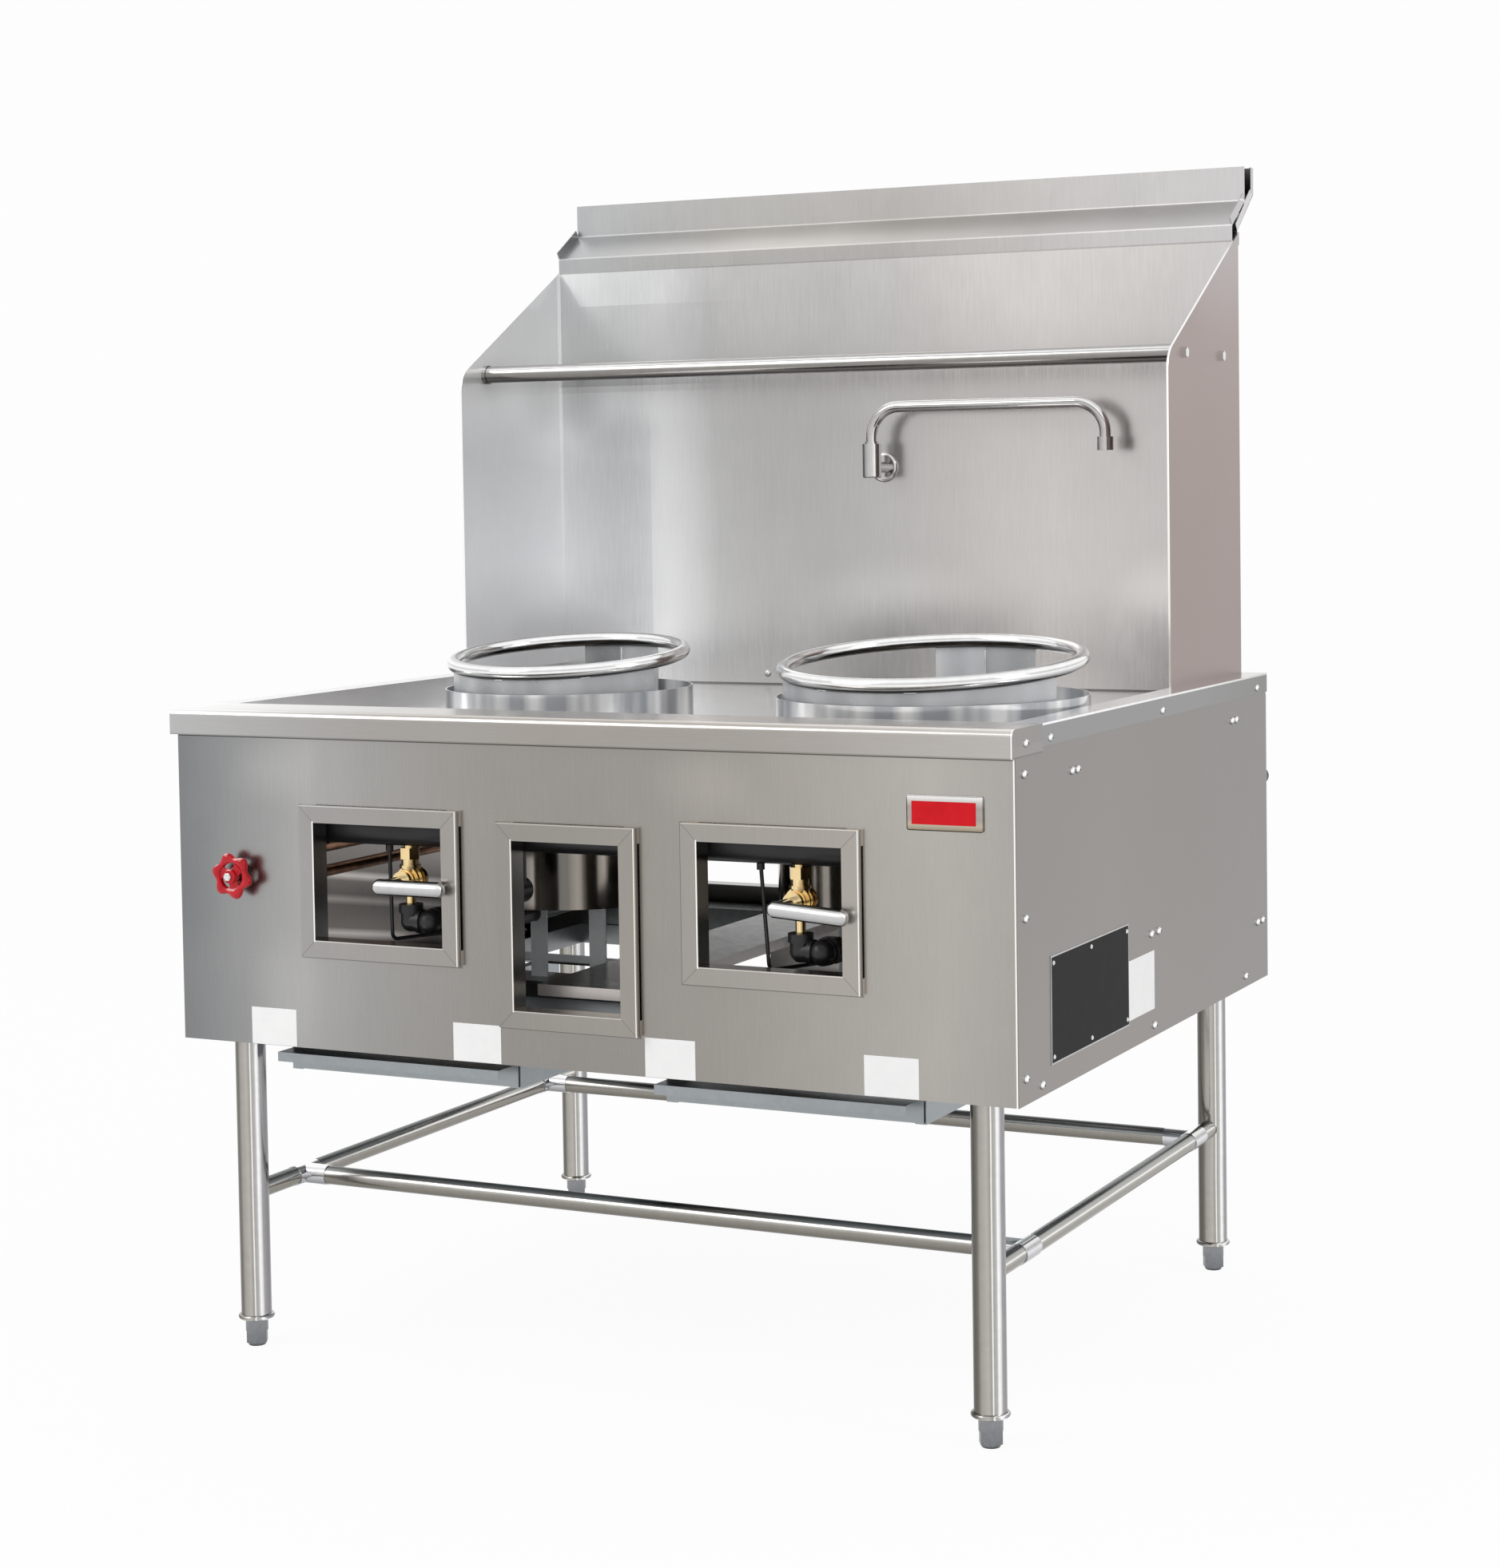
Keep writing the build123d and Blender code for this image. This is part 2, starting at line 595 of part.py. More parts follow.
def burner_pipe(x, z, cx, cy, bottom):
    """Iron elbow under the valve, a union beside it, and a pipe back to the burner."""
    y = manifold_y
    start = x + elbow_x
    low = bottom - pipe_drop
    elbow = bar_z(x, y, 16, z + 12, z + 23) + bar_z(x, y, 13.6, z, z + 14) + Pos(x, y, z) * Sphere(14)
    elbow += bar_x(y, z, 13.6, x, start) + bar_x(y, z, 16, start - 17, start - 11)
    elbow += Pos(start, y, z) * Sphere(16.8)
    elbow += bar_y(start, z, 13.5, y, y + 36)
    elbow += bar_y(start, z, 17.5, y + 8, y + 15)
    elbow += Pos(start, y + 32, z) * Rot(90, 0, 0) * hexagon(32, 14)
    elbow -= bar_z(x, y, outlet_radius + run, outlet_end - 1, 650)
    route = [(start, y + 20, z), (start, y + 62, z), (cx, y + 140, low), (cx, cy - 20, low)]
    line = pipe(route, pipe_radius, 36)
    rise = pipe([(cx, cy - 21, low), (cx, cy, low), (cx, cy, bottom + 15.9)], pipe_radius, 14)
    return elbow + line + rise


def pilot_tube(x, low, lean, cx, cy, bottom):
    """Thin tube from a nut on the main, down, and back to a burner."""
    top = manifold_z - manifold_radius - 0.1
    route = [(x, manifold_y, top), (x + lean, manifold_y, low), (cx - 22, cy - 90, low - 4),
             (cx - 22, cy, low - 4), (cx - 22, cy, bottom + 11.8)]
    return pipe(route, 2.5, 9) + bar_z(x, manifold_y, 5, top - 8, top)


pieces["gas_manifold"] = gas_manifold()
for name in burners:
    pieces[name + "_gas_valve"] = gas_valve(valve_x[name])
    pieces[name + "_lever"] = lever(valve_x[name], lever_droop[name])
feeds = []
tubes = []
for name, (x, y, ring, radius, bottom, jets) in burners.items():
    feeds.append(burner_pipe(valve_x[name], elbow_z[name], x, y, bottom))
    tubes.append(pilot_tube(*pilots[name], x, y, bottom))
pieces["burner_pipes"] = Compound(children=feeds)
pieces["pilot_tubes"] = Compound(children=tubes)

# ---------------------------------------------------------------- water
valve_depth = 45.0
valve_half = 34.0
hub_back = wheel_y + hub_thickness / 2
gland_end = hub_back + 2.8
riser_radius = 7.95
riser_y = (splash_face + splash_back) / 2    # half way between the splash's two sheets


def water_valve():
    """Brass globe valve behind the panel; its bonnet comes through with a hex nut in front."""
    body = bar_x(valve_depth, wheel_z, 13, wheel_x - valve_half, wheel_x + valve_half)
    body += Pos(wheel_x, valve_depth, wheel_z) * Sphere(19)
    for side in (-1, 1):
        body += Pos(wheel_x + side * 27 - 7, valve_depth, wheel_z) * Rot(0, 90, 0) * hexagon(30, 14)
    body += bar_y(wheel_x, wheel_z, 11.5, -5, valve_depth)
    body += Pos(wheel_x, -0.5, wheel_z) * Rot(90, 0, 0) * hexagon(27, 6)
    body += bar_y(wheel_x, wheel_z, 8.5, gland_end, -6)
    return body - bar_y(wheel_x, wheel_z, 4 + run, -30, 20)


def handwheel():
    """Six-lobed wheel: a rounded rim, three openings, and a dished web to the hub."""
    lobes = 6
    points = 36
    outer = []
    for i in range(points):
        turn = 2 * math.pi * i / points
        reach = wheel_radius - 3.2 + 3.2 * math.cos(lobes * turn)
        outer.append((reach * math.cos(turn), reach * math.sin(turn)))
    rim = extrude(make_face(Spline(*outer, periodic=True)), 11)
    rim = fillet(rim.edges().filter_by(Plane.XY), 3.6)
    rim -= Pos(0, 0, 7) * Cylinder(wheel_radius - 12, 20, align=(Align.CENTER, Align.CENTER, Align.MIN))
    rim -= Cylinder(wheel_radius - 12, 4, align=(Align.CENTER, Align.CENTER, Align.MIN))
    wheel = rim + Cylinder(8.5, hub_thickness, align=(Align.CENTER, Align.CENTER, Align.MIN))
    for i in range(3):
        arc_mid = math.radians(105 + 120 * i)
        slot = SlotArc(CenterArc((0, 0), 13.8, math.degrees(arc_mid) - 32, 64), 8.5)
        wheel -= extrude(slot, 20)
    wheel -= Cylinder(4.0, 40)
    return Pos(wheel_x, hub_back, wheel_z) * Rot(90, 0, 0) * wheel


def handwheel_stem():
    """Steel stem from the bonnet, with a hex nut that holds the wheel."""
    hub_front = hub_back - hub_thickness
    stem = bar_y(wheel_x, wheel_z, 4.0, hub_front - 5.5, 14)
    stem += Pos(wheel_x, hub_front, wheel_z) * Rot(90, 0, 0) * hexagon(10, 4)
    return stem + bar_y(wheel_x, wheel_z, 6.5, hub_back, gland_end - gap)


def water_pipes():
    """Supply from the back to the valve, and a riser from the valve up behind the splash."""
    inlet_x = -gas_inlet_x
    riser_x = -420.0
    shoulder = inlet_end - thread_length
    supply = pipe([(inlet_x, shoulder, wheel_z), (inlet_x, valve_depth, wheel_z),
                   (wheel_x - valve_half, valve_depth, wheel_z)], pipe_radius, 25)
    supply += bar_y(inlet_x, wheel_z, water_thread, shoulder - 1, inlet_end)
    riser = pipe([(wheel_x + valve_half, valve_depth, wheel_z), (riser_x, valve_depth, wheel_z),
                  (riser_x, riser_y, wheel_z), (riser_x, riser_y, faucet_z),
                  (spout_x + riser_radius, riser_y, faucet_z)], riser_radius, 9.5)
    return Compound(children=[supply, riser])


def faucet_body():
    """Wall flange, shank and an upright round body with the spout's socket."""
    flange_face = splash_face - 6
    flange = bar_y(spout_x, faucet_z, 23, flange_face, splash_face)
    flange = fillet(flange.edges().filter_by(GeomType.CIRCLE).group_by(Axis.Y)[0], 4.5)
    shank = bar_y(spout_x, faucet_z, 8.5, spout_y, riser_y)
    shank -= bar_x(riser_y, faucet_z, riser_radius + 0.1, spout_x - 20, spout_x + 20)
    body = flange + shank
    low, high = faucet_z - 16, faucet_z + 36
    barrel = bar_z(spout_x, spout_y, 14.5, low, high)
    barrel = fillet(barrel.edges().filter_by(GeomType.CIRCLE).group_by(Axis.Z)[0], 2.5)
    body += barrel
    return body - bar_z(spout_x, spout_y, spout_radius + run, high - 22, high + 1)


def faucet_spout():
    """Round tube: up out of the body, over to the side along the wall, and down."""
    start = faucet_z + 16
    end = 1229.0
    route = [(spout_x, spout_y, start), (spout_x, spout_y, spout_top),
             (spout_x + spout_reach, spout_y, spout_top), (spout_x + spout_reach, spout_y, end)]
    tube = pipe(route, spout_radius, spout_bend)
    return tube + bar_z(spout_x, spout_y, 10.5, faucet_z + 36.3, faucet_z + 39.3)


def spout_aerator():
    """Outlet nozzle with a knurled band, open below."""
    x = spout_x + spout_reach
    nozzle = bar_z(x, spout_y, 12.3, 1212, 1232) - bar_z(x, spout_y, spout_radius, 1229, 1240)
    nozzle -= bar_z(x, spout_y, 9.5, 1211, 1217)
    return nozzle


pieces["water_valve"] = water_valve()
pieces["handwheel"] = handwheel()
pieces["handwheel_stem"] = handwheel_stem()
pieces["water_pipes"] = water_pipes()
pieces["faucet_body"] = faucet_body()
pieces["faucet_spout"] = faucet_spout()
pieces["spout_aerator"] = spout_aerator()

# ---------------------------------------------------------------- stand
shank_radius = 8.0
tee_radius = 13.9
tee_half = 25.0


def leg(x, y):
    """Tube with a rolled foot ring and a threaded plug for the adjustable foot."""
    tube = bar_z(x, y, leg_radius, leg_bottom, 478) - bar_z(x, y, leg_radius - sheet, leg_bottom + 30, 479)
    tube += Pos(x, y, leg_bottom + 3.5) * Torus(leg_radius + 0.5, 3.4)
    return tube - bar_z(x, y, shank_radius + run, leg_bottom - 5, leg_bottom + 40)


def foot(x, y):
    """Adjustable foot: bevelled sole, hex for a spanner, round shoulder and shank."""
    sole = Pos(x, y, 2) * Cone(11.5, 13.5, 4)
    body = sole + Pos(x, y, 3.9) * hexagon(27, 16.2)
    body += bar_z(x, y, 15.2, 20, leg_bottom - gap)
    return body + bar_z(x, y, shank_radius, 30, leg_bottom + 60)


def side_rails():
    """Tubes from leg to leg along each side, coped to the legs."""
    rail = bar_y(leg_x, rail_height, rail_radius, leg_front, leg_back)
    rail -= bar_y(leg_x, rail_height, rail_radius - sheet, leg_front - 5, leg_back + 5)
    for y in (leg_front, leg_back):
        rail -= bar_z(leg_x, y, leg_radius + 0.02, 180, 250)
    return Compound(children=both_sides(rail))


def cross_rails():
    """Tubes across the width at the front and the back, from tee to tee."""
    half = leg_x - 42
    tubes = []
    for y in (cross_front, cross_back):
        tube = bar_x(y, rail_height, rail_radius, -half, half)
        tubes.append(tube - bar_x(y, rail_height, rail_radius - sheet, -half - 1, half + 1))
    return Compound(children=tubes)


def rail_tees():
    """Tee sockets on the side rails that hold the cross rails."""
    tees = []
    for y in (cross_front, cross_back):
        tee = bar_y(leg_x, rail_height, tee_radius, y - tee_half, y + tee_half)
        tee += bar_x(y, rail_height, tee_radius, leg_x - 42, leg_x)
        tee -= bar_y(leg_x, rail_height, rail_radius + 0.02, y - 30, y + 30)
        tees += both_sides(tee)
    return Compound(children=tees)


for name, x, y in leg_places():
    pieces[name + "_leg"] = leg(x, y)
    pieces[name + "_foot"] = foot(x, y)
pieces["side_rails"] = side_rails()
pieces["cross_rails"] = cross_rails()
pieces["rail_tees"] = rail_tees()


# ---------------------------------------------------------------- drip trays
tray_sheet = 1.2
lip_reach = 34.0             # the pull lip stands this far in front of the tray
lip_drop = 12.5


def tray(x0, x1):
    """Galvanized drip tray with a folded pull lip along its front."""
    pan = block((x0, x1), (tray_front, tray_back), (tray_bottom, tray_top))
    pan -= block((x0 + tray_sheet, x1 - tray_sheet), (tray_front + tray_sheet, tray_back - tray_sheet),
                 (tray_bottom + tray_sheet, tray_top + 1))
    lip_y = tray_front - lip_reach
    lip = [(lip_y, tray_top - lip_drop), (lip_y, tray_top), (tray_front + 0.5, tray_top)]
    return pan + along_x(folded(lip[::-1], tray_sheet), x0, x1 - 9)


def tray_runners():
    """Hanging rails of Z section, one each side of a tray, under the bottom frame."""
    rails = []
    for x0, x1 in trays.values():
        for edge, inward in ((x0 - 0.8, 1), (x1 + 0.8, -1)):
            skin = [(edge + inward * 14, tray_bottom - gap), (edge, tray_bottom - gap), (edge, frame_z[0]),
                    (edge - inward * 18, frame_z[0])]
            section = folded(skin, inward * sheet)
            rails.append(along_y(section, tray_front + 3, 760))
    return Compound(children=rails)


for name, (x0, x1) in trays.items():
    pieces[name + "_tray"] = tray(x0, x1)
pieces["tray_runners"] = tray_runners()

# ---------------------------------------------------------------- fixings
strip_screws = (30.0, 111.0, 527.0, 951.0)
panel_screws = ((26, 824), (26, 652), (23, 461), (75, 444), (486, 445), (890, 446), (187, 813),
                (206, 813), (834, 822), (853, 822), (477, 568), (506, 568), (950, 516), (974, 516))
splash_screws = (-199.5, 199.5)


def dome_screw():
    """Dome head on the XY plane, facing up, with a short shank below."""
    radius, height = 5.5, 3.6
    ball = (radius ** 2 + height ** 2) / (2 * height)
    dome = Pos(0, 0, height - ball) * Sphere(ball)
    dome &= Cylinder(radius + 1, height + 1, align=(Align.CENTER, Align.CENTER, Align.MIN))
    return dome


def dome_screws():
    """The screws of both sides and the two at the foot of the splash's back sheet."""
    head = dome_screw()
    right = [Pos(body_width / 2, y, 860.5) * Rot(0, 90, 0) * head for y in strip_screws]
    right += [Pos(side_out, y, z) * Rot(0, 90, 0) * head for y, z in panel_screws]
    screws = [end for screw in right for end in both_sides(screw)]
    screws += [Pos(x, splash_face, 868) * Rot(90, 0, 0) * head for x in splash_screws]
    return Compound(children=screws)


pieces["dome_screws"] = dome_screws()

# ---------------------------------------------------------------- set down and write
overall_front = lever_y - lever_radius
overall_back = cap_rear + sheet
origin_y = (overall_front + overall_back) / 2

for name, shape in pieces.items():
    export_step(Pos(0, -origin_y, 0) * shape, "parts/" + name + ".step")
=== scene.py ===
import math

import bmesh
import bpy
from mathutils import Matrix, Vector


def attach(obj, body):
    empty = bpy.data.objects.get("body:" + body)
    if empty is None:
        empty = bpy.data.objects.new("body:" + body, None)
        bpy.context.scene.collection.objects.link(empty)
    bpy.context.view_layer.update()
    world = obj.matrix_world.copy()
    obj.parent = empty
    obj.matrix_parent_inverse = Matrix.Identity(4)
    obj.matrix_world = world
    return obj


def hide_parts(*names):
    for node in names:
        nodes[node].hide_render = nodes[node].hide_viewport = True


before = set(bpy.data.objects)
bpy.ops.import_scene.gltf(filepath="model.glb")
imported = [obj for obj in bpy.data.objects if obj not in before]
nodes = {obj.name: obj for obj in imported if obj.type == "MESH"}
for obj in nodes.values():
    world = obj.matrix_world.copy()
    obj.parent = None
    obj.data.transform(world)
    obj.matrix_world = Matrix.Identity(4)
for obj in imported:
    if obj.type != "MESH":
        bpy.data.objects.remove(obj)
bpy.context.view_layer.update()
MM = 0.001
PANEL_Y = -522.0             # the front panel's outer face in the frame, mm


# ---------------------------------------------------------------- front panel
# One stainless sheet with three windows, folded round its edges and brushed upright. Its tones are painted
# reflections: cool and dark at the left and warm and light at the right, with a soft painted cloudiness all
# over.
class Wire:
    """A socket of a node tree. Arithmetic on wires and numbers adds Math nodes."""

    def __init__(self, socket):
        self.socket = socket
        self.tree = socket.id_data if socket else None

    def math(self, operation, *others):
        inputs = dict(enumerate((self, *others)))
        return add_node(self.tree, "ShaderNodeMath", {"operation": operation}, inputs)

    def __add__(self, other):
        return self.math("ADD", other)

    def __sub__(self, other):
        return self.math("SUBTRACT", other)

    def __rsub__(self, other):
        return (self * -1.0) + other

    def __mul__(self, other):
        return self.math("MULTIPLY", other)

    __radd__ = __add__
    __rmul__ = __mul__

    def above(self, limit):
        return self.math("GREATER_THAN", limit)

    def below(self, limit):
        return self.math("LESS_THAN", limit)

    def outputs(self, count):
        """The first few outputs of the node that this wire leaves."""
        return [Wire(socket) for socket in self.socket.node.outputs[:count]]


def add_node(tree, kind, settings=None, inputs=None, output=0):
    """Adds a node, makes its settings, then puts values or wires into its inputs."""
    node = tree.nodes.new(kind)
    for name, value in (settings or {}).items():
        setattr(node, name, value)
    for name, value in (inputs or {}).items():
        if isinstance(value, Wire):
            tree.links.new(value.socket, node.inputs[name])
        else:
            node.inputs[name].default_value = value
    return Wire(node.outputs[output] if node.outputs else None)


def start_finish(name):
    """A new material, its tree, and wires for the place and the facing of each point of a piece."""
    material = bpy.data.materials.new(name)
    material.use_nodes = True
    tree = material.node_tree
    tree.nodes.clear()
    facing, place = (add_node(tree, "ShaderNodeTexCoord", output=i) for i in (1, 3))
    return material, tree, place, facing


def end_finish(tree, sockets):
    shader = add_node(tree, "ShaderNodeBsdfPrincipled", None, sockets)
    add_node(tree, "ShaderNodeOutputMaterial", None, {"Surface": shader})


def noise(tree, place, scale, detail=2.0):
    return add_node(tree, "ShaderNodeTexNoise", None, {"Vector": place, "Scale": scale, "Detail": detail})


def bumped(tree, height, strength, distance):
    """A bump from a height, with its distance in mm."""
    relief = {"Strength": strength, "Distance": distance * MM, "Height": height}
    return add_node(tree, "ShaderNodeBump", None, relief)


def toward(tree, facing, axis):
    """How far a surface faces along an axis, from -1 to 1."""
    return add_node(tree, "ShaderNodeVectorMath", {"operation": "DOT_PRODUCT"}, {0: facing, 1: axis}, 1)


def parts(tree, vector):
    """The X, Y and Z of a vector."""
    return add_node(tree, "ShaderNodeSeparateXYZ", None, {0: vector}).outputs(3)


def stretched(tree, place, scales):
    """The place scaled differently along X, Y and Z, so that a pattern on it is drawn out."""
    return add_node(tree, "ShaderNodeMapping", {"vector_type": "POINT"}, {"Vector": place, "Scale": scales})


def ramp(tree, share, stops):
    """A colour for each share from 0 to 1, from pairs of a share and a colour or a grey level."""
    wire = add_node(tree, "ShaderNodeValToRGB", None, {0: share})
    marks = wire.socket.node.color_ramp.elements
    marks.remove(marks[-1])
    for i, (position, tone) in enumerate(stops):
        mark = marks.new(position) if i else marks[0]
        mark.position = position
        mark.color = (*(tone if isinstance(tone, tuple) else (tone, tone, tone)), 1)
    return wire


def evenly(tones):
    return [(i / (len(tones) - 1), tone) for i, tone in enumerate(tones)]


def span_share(coordinate, span):
    """How far along a span in mm a coordinate lies, from 0 to 1."""
    low, high = span
    return (coordinate - low * MM) * (1000 / (high - low))


def levels_along(tree, coordinate, levels, sway=0.0):
    """A level or a colour at each of some places in mm along a coordinate, and a blend between them."""
    low, high = levels[0][0], levels[-1][0]
    stops = [((mark - low) / (high - low), level) for mark, level in levels]
    return ramp(tree, span_share(coordinate, (low, high)) + sway, stops)


def tinted(tree, colour, level):
    """A colour made lighter or darker by a wire of numbers round 1, up to white."""
    scaled = add_node(tree, "ShaderNodeVectorMath", {"operation": "SCALE"}, {0: colour, 3: level})
    return add_node(tree, "ShaderNodeVectorMath", {"operation": "MINIMUM"}, {0: scaled, 1: (1.0, 1.0, 1.0)})


def dress(material, slot, *names):
    """Gives CAD nodes their finish."""
    for name in names:
        nodes[name].data.materials.clear()
        nodes[name].data.materials.append(material)


def brushed(name, tones, axis, span, grain=2, roughness=0.3, reflection_cloud=0.12, rise=None, extra=None, metal=1.0):
    """Brushed sheet. The tones are painted reflections that run along an axis over a span in mm, clouded by
    more painted reflection, and the brush ran along the grain's axis. rise gives half a level of painted
    reflection at each of some heights, and extra works out one more level."""
    material, tree, place, facing = start_finish(name)
    x, y, z = parts(tree, place)
    # painted reflection: the tones along the axis, the cloudiness from the haze, and the rise with height
    haze = noise(tree, place, 2.6) - 0.5
    colour = ramp(tree, span_share((x, y, z)[axis], span) + haze * reflection_cloud, evenly(tones))
    scales = [520.0, 520.0, 520.0]
    scales[grain] = 22.0                 # scratches are drawn out along the grain
    scratch = noise(tree, stretched(tree, place, scales), 1.0) - 0.5
    mottle = noise(tree, place, 17.0, 3.0) - 0.5
    level = 1.0 + scratch * 0.10 + mottle * 0.07 + haze * reflection_cloud * 0.8
    if rise:
        level = level * levels_along(tree, z, rise, haze * reflection_cloud * 0.3) * 2.0
    if extra:
        level = level * extra(tree, place, facing)
    end_finish(tree, {"Base Color": tinted(tree, colour, level), "Metallic": metal,
                      "Roughness": roughness + scratch * 0.10 + mottle * 0.05,
                      "Normal": bumped(tree, scratch, 0.2, 0.04)})
    return material


def near(wire, middle, reach):
    """1 within a reach of a middle, in mm, and 0 elsewhere."""
    return (wire - middle * MM).math("ABSOLUTE").below(reach * MM)


def reflection_patches(x, z, spots):
    """Soft oval areas of painted reflection on a sheet, each from its middle, its reach and its gain in the
    middle.
    """
    level = 1.0
    for (middle_x, middle_z), (reach_x, reach_z), gain in spots:
        across = (x - middle_x * MM) * (1000 / reach_x)
        along = (z - middle_z * MM) * (1000 / reach_z)
        soft = (1.0 - (across * across + along * along)).math("MAXIMUM", 0.0)
        level = (1.0 + soft * soft * gain) * level
    return level


# name: centre x, width, lowest z and highest z of the trim
windows = {
    "left": (-283.5, 243.0, 554.5, 755.5),
    "center": (-0.5, 201.0, 481.0, 744.0),
    "right": (287.0, 242.0, 553.0, 754.0),
}
rail_bottom = 845.0
right_fold = 604.6           # a painted highlight down the right edge's fold starts here
shade_left = 7.2             # a trim's shade on the panel reaches this far to its left
shade_below = 3.4


def front_painted_light(tree, place, facing):
    """A painted highlight down the right edge's fold, painted shadow lines under the rail and round the
    trims, and soft areas of painted reflection.
    """
    x, z = parts(tree, place)[::2]
    # painted highlight down the right edge's fold, painted shadow in a line under the rail
    level = 1.0 + x.above(right_fold * MM) * 1.6 - z.above((rail_bottom - 3.0) * MM) * 0.7
    # painted shadow round the left and lower edges of each trim
    for centre, width, low, high in windows.values():
        left, right = centre - width / 2 - shade_left, centre + width / 2
        side = (left * MM - x).math("MAXIMUM", x - right * MM)
        end = (z - high * MM).math("MAXIMUM", (low - shade_below) * MM - z)
        level = level * (1.0 - side.math("MAXIMUM", end).below(0.2 * MM) * 0.42)
    return level * reflection_patches(x, z, front_reflection_patches)


# painted reflections across the panel, up its height and in soft areas
front_reflection_tones = [(0.226, 0.234, 0.242), (0.325, 0.326, 0.326), (0.425, 0.42, 0.412), (0.37, 0.361, 0.348),
               (0.345, 0.332, 0.315), (0.325, 0.308, 0.288), (0.318, 0.30, 0.28), (0.325, 0.305, 0.284),
               (0.35, 0.328, 0.303), (0.39, 0.367, 0.338), (0.425, 0.402, 0.372), (0.465, 0.442, 0.412),
               (0.415, 0.395, 0.37)]
front_reflection_rise = [(430, 0.47), (560, 0.49), (720, 0.50), (880, 0.515)]
front_reflection_patches = [((-440, 500), (75, 110), 0.14), ((-455, 800), (90, 60), 0.14), ((190, 800), (90, 60), 0.12),
                 ((-575, 640), (60, 120), -0.08)]
front_steel = brushed("front_steel", front_reflection_tones, 0, (-608, 608), roughness=0.27, reflection_cloud=0.09,
                      rise=front_reflection_rise, extra=front_painted_light)
dress(front_steel, "brushed_panels", "front_panel")

# ---------------------------------------------------------------- window trims
# Three raised frames of folded stainless, mitred at the corners, round the cut-outs. Their seams show as
# fine dark lines across the corners. Their tones are painted reflections, their edges have painted
# highlights, their outer sides and tops are painted lighter than their faces, and their inner sides have
# painted shade.
trim_face = 22.5
trim_stand = 12.0
# painted light on the trims' right-hand returns, and their painted reflection tones
return_painted_fade = [(0.0, 1.0), (0.26, 1.0), (0.34, 0.42), (0.72, 0.38), (0.82, 0.75), (1.0, 0.75)]
trim_reflection_tones = {"left": [(0.38, 0.37, 0.36), (0.36, 0.338, 0.315)],
              "center": [(0.31, 0.298, 0.276), (0.34, 0.32, 0.29)],
              "right": [(0.36, 0.34, 0.315), (0.42, 0.392, 0.36)]}


def mitre(centre, width, low, high):
    """Mitre lines in the corners of a frame, painted highlights on the edges, outer sides and tops, and
    painted shade on the inner side.
    """
    left, right = centre - width / 2, centre + width / 2

    def lines(tree, place, facing):
        x, y, z = parts(tree, place)
        from_side = width / 2 * MM - (x - centre * MM).math("ABSOLUTE")
        from_end = (high - low) / 2 * MM - (z - (high + low) / 2 * MM).math("ABSOLUTE")
        apart = (from_side - from_end).math("ABSOLUTE")
        front = y.below((PANEL_Y - trim_stand + 1) * MM)
        seam = apart.below(0.6 * MM) * front * 0.35
        # painted highlights along the edges
        inner_edge_highlight = near(x, left + trim_face - 0.9, 1.0) * from_end.above((trim_face - 2) * MM)
        outer_edge_highlight = x.above((right - 1.4) * MM)
        lower_edge_highlight = near(z, low + trim_face - 0.6, 0.8) * from_side.above((trim_face - 1) * MM)
        top_edge_highlight = z.above((high - 1.0) * MM)
        edges = (inner_edge_highlight * 1.9 + lower_edge_highlight * 0.7 + outer_edge_highlight * 1.9 + top_edge_highlight * 0.8) * front
        across, upward = parts(tree, facing)[::2]
        sideways = across.above(0.5)
        right_half = x.above(centre * MM)
        return_painted_light = ramp(tree, span_share(y, (PANEL_Y - trim_stand, PANEL_Y)), return_painted_fade) * 2.7 - 1.0
        jamb_painted_shade = sideways * (1.0 - right_half) * 0.35
        # painted light on the outer sides and tops, painted shade on the inner side
        return 1.0 - seam + edges + sideways * right_half * return_painted_light - jamb_painted_shade + upward.above(0.5) * 0.9
    return lines


for name, (centre, width, low, high) in windows.items():
    steel = brushed("trim_steel_" + name, trim_reflection_tones[name], 0, (centre - width / 2, centre + width / 2),
                    roughness=0.24, extra=mitre(centre, width, low, high))
    dress(steel, "brushed_panels", name + "_window_trim")

# ---------------------------------------------------------------- sides and back
# The side panels are brushed stainless, with painted reflection tones outside that are warmer and darker
# than the front, and painted lighter in slanting bands inside. The rear panel and the flue's back sheet are
# lighter, and hardly vary.
depth_span = (PANEL_Y, PANEL_Y + 1000)
# painted reflections: the sides' tones along their depth and up their height
side_reflection_tones = [(0.272, 0.256, 0.243), (0.272, 0.25, 0.236), (0.246, 0.229, 0.218), (0.236, 0.222, 0.213)]
side_reflection_rise = [(430, 0.52), (560, 0.51), (720, 0.495), (880, 0.49)]
inner_painted_bands = [(500, 0.42), (508, 0.26), (518, 0.95), (526, 0.30), (545, 0.27), (560, 0.26), (568, 0.62),
              (576, 0.24), (596, 0.30), (604, 1.0), (612, 0.26), (660, 0.24)]
band_depth = 375             # the bands have these heights at this depth, and slant from there
band_slant = 0.17


def inner_side(tree, place, facing):
    """Lighter on the inner faces, with painted light in slanting bands."""
    x, y, z = parts(tree, place)
    inward = (x * parts(tree, facing)[0]).below(-0.1)
    slanting = z + (y - (PANEL_Y + band_depth) * MM) * band_slant
    # painted light in slanting bands on the inner faces
    light = levels_along(tree, slanting, inner_painted_bands) * 4.2
    return 1.0 + inward * (light - 1.0)


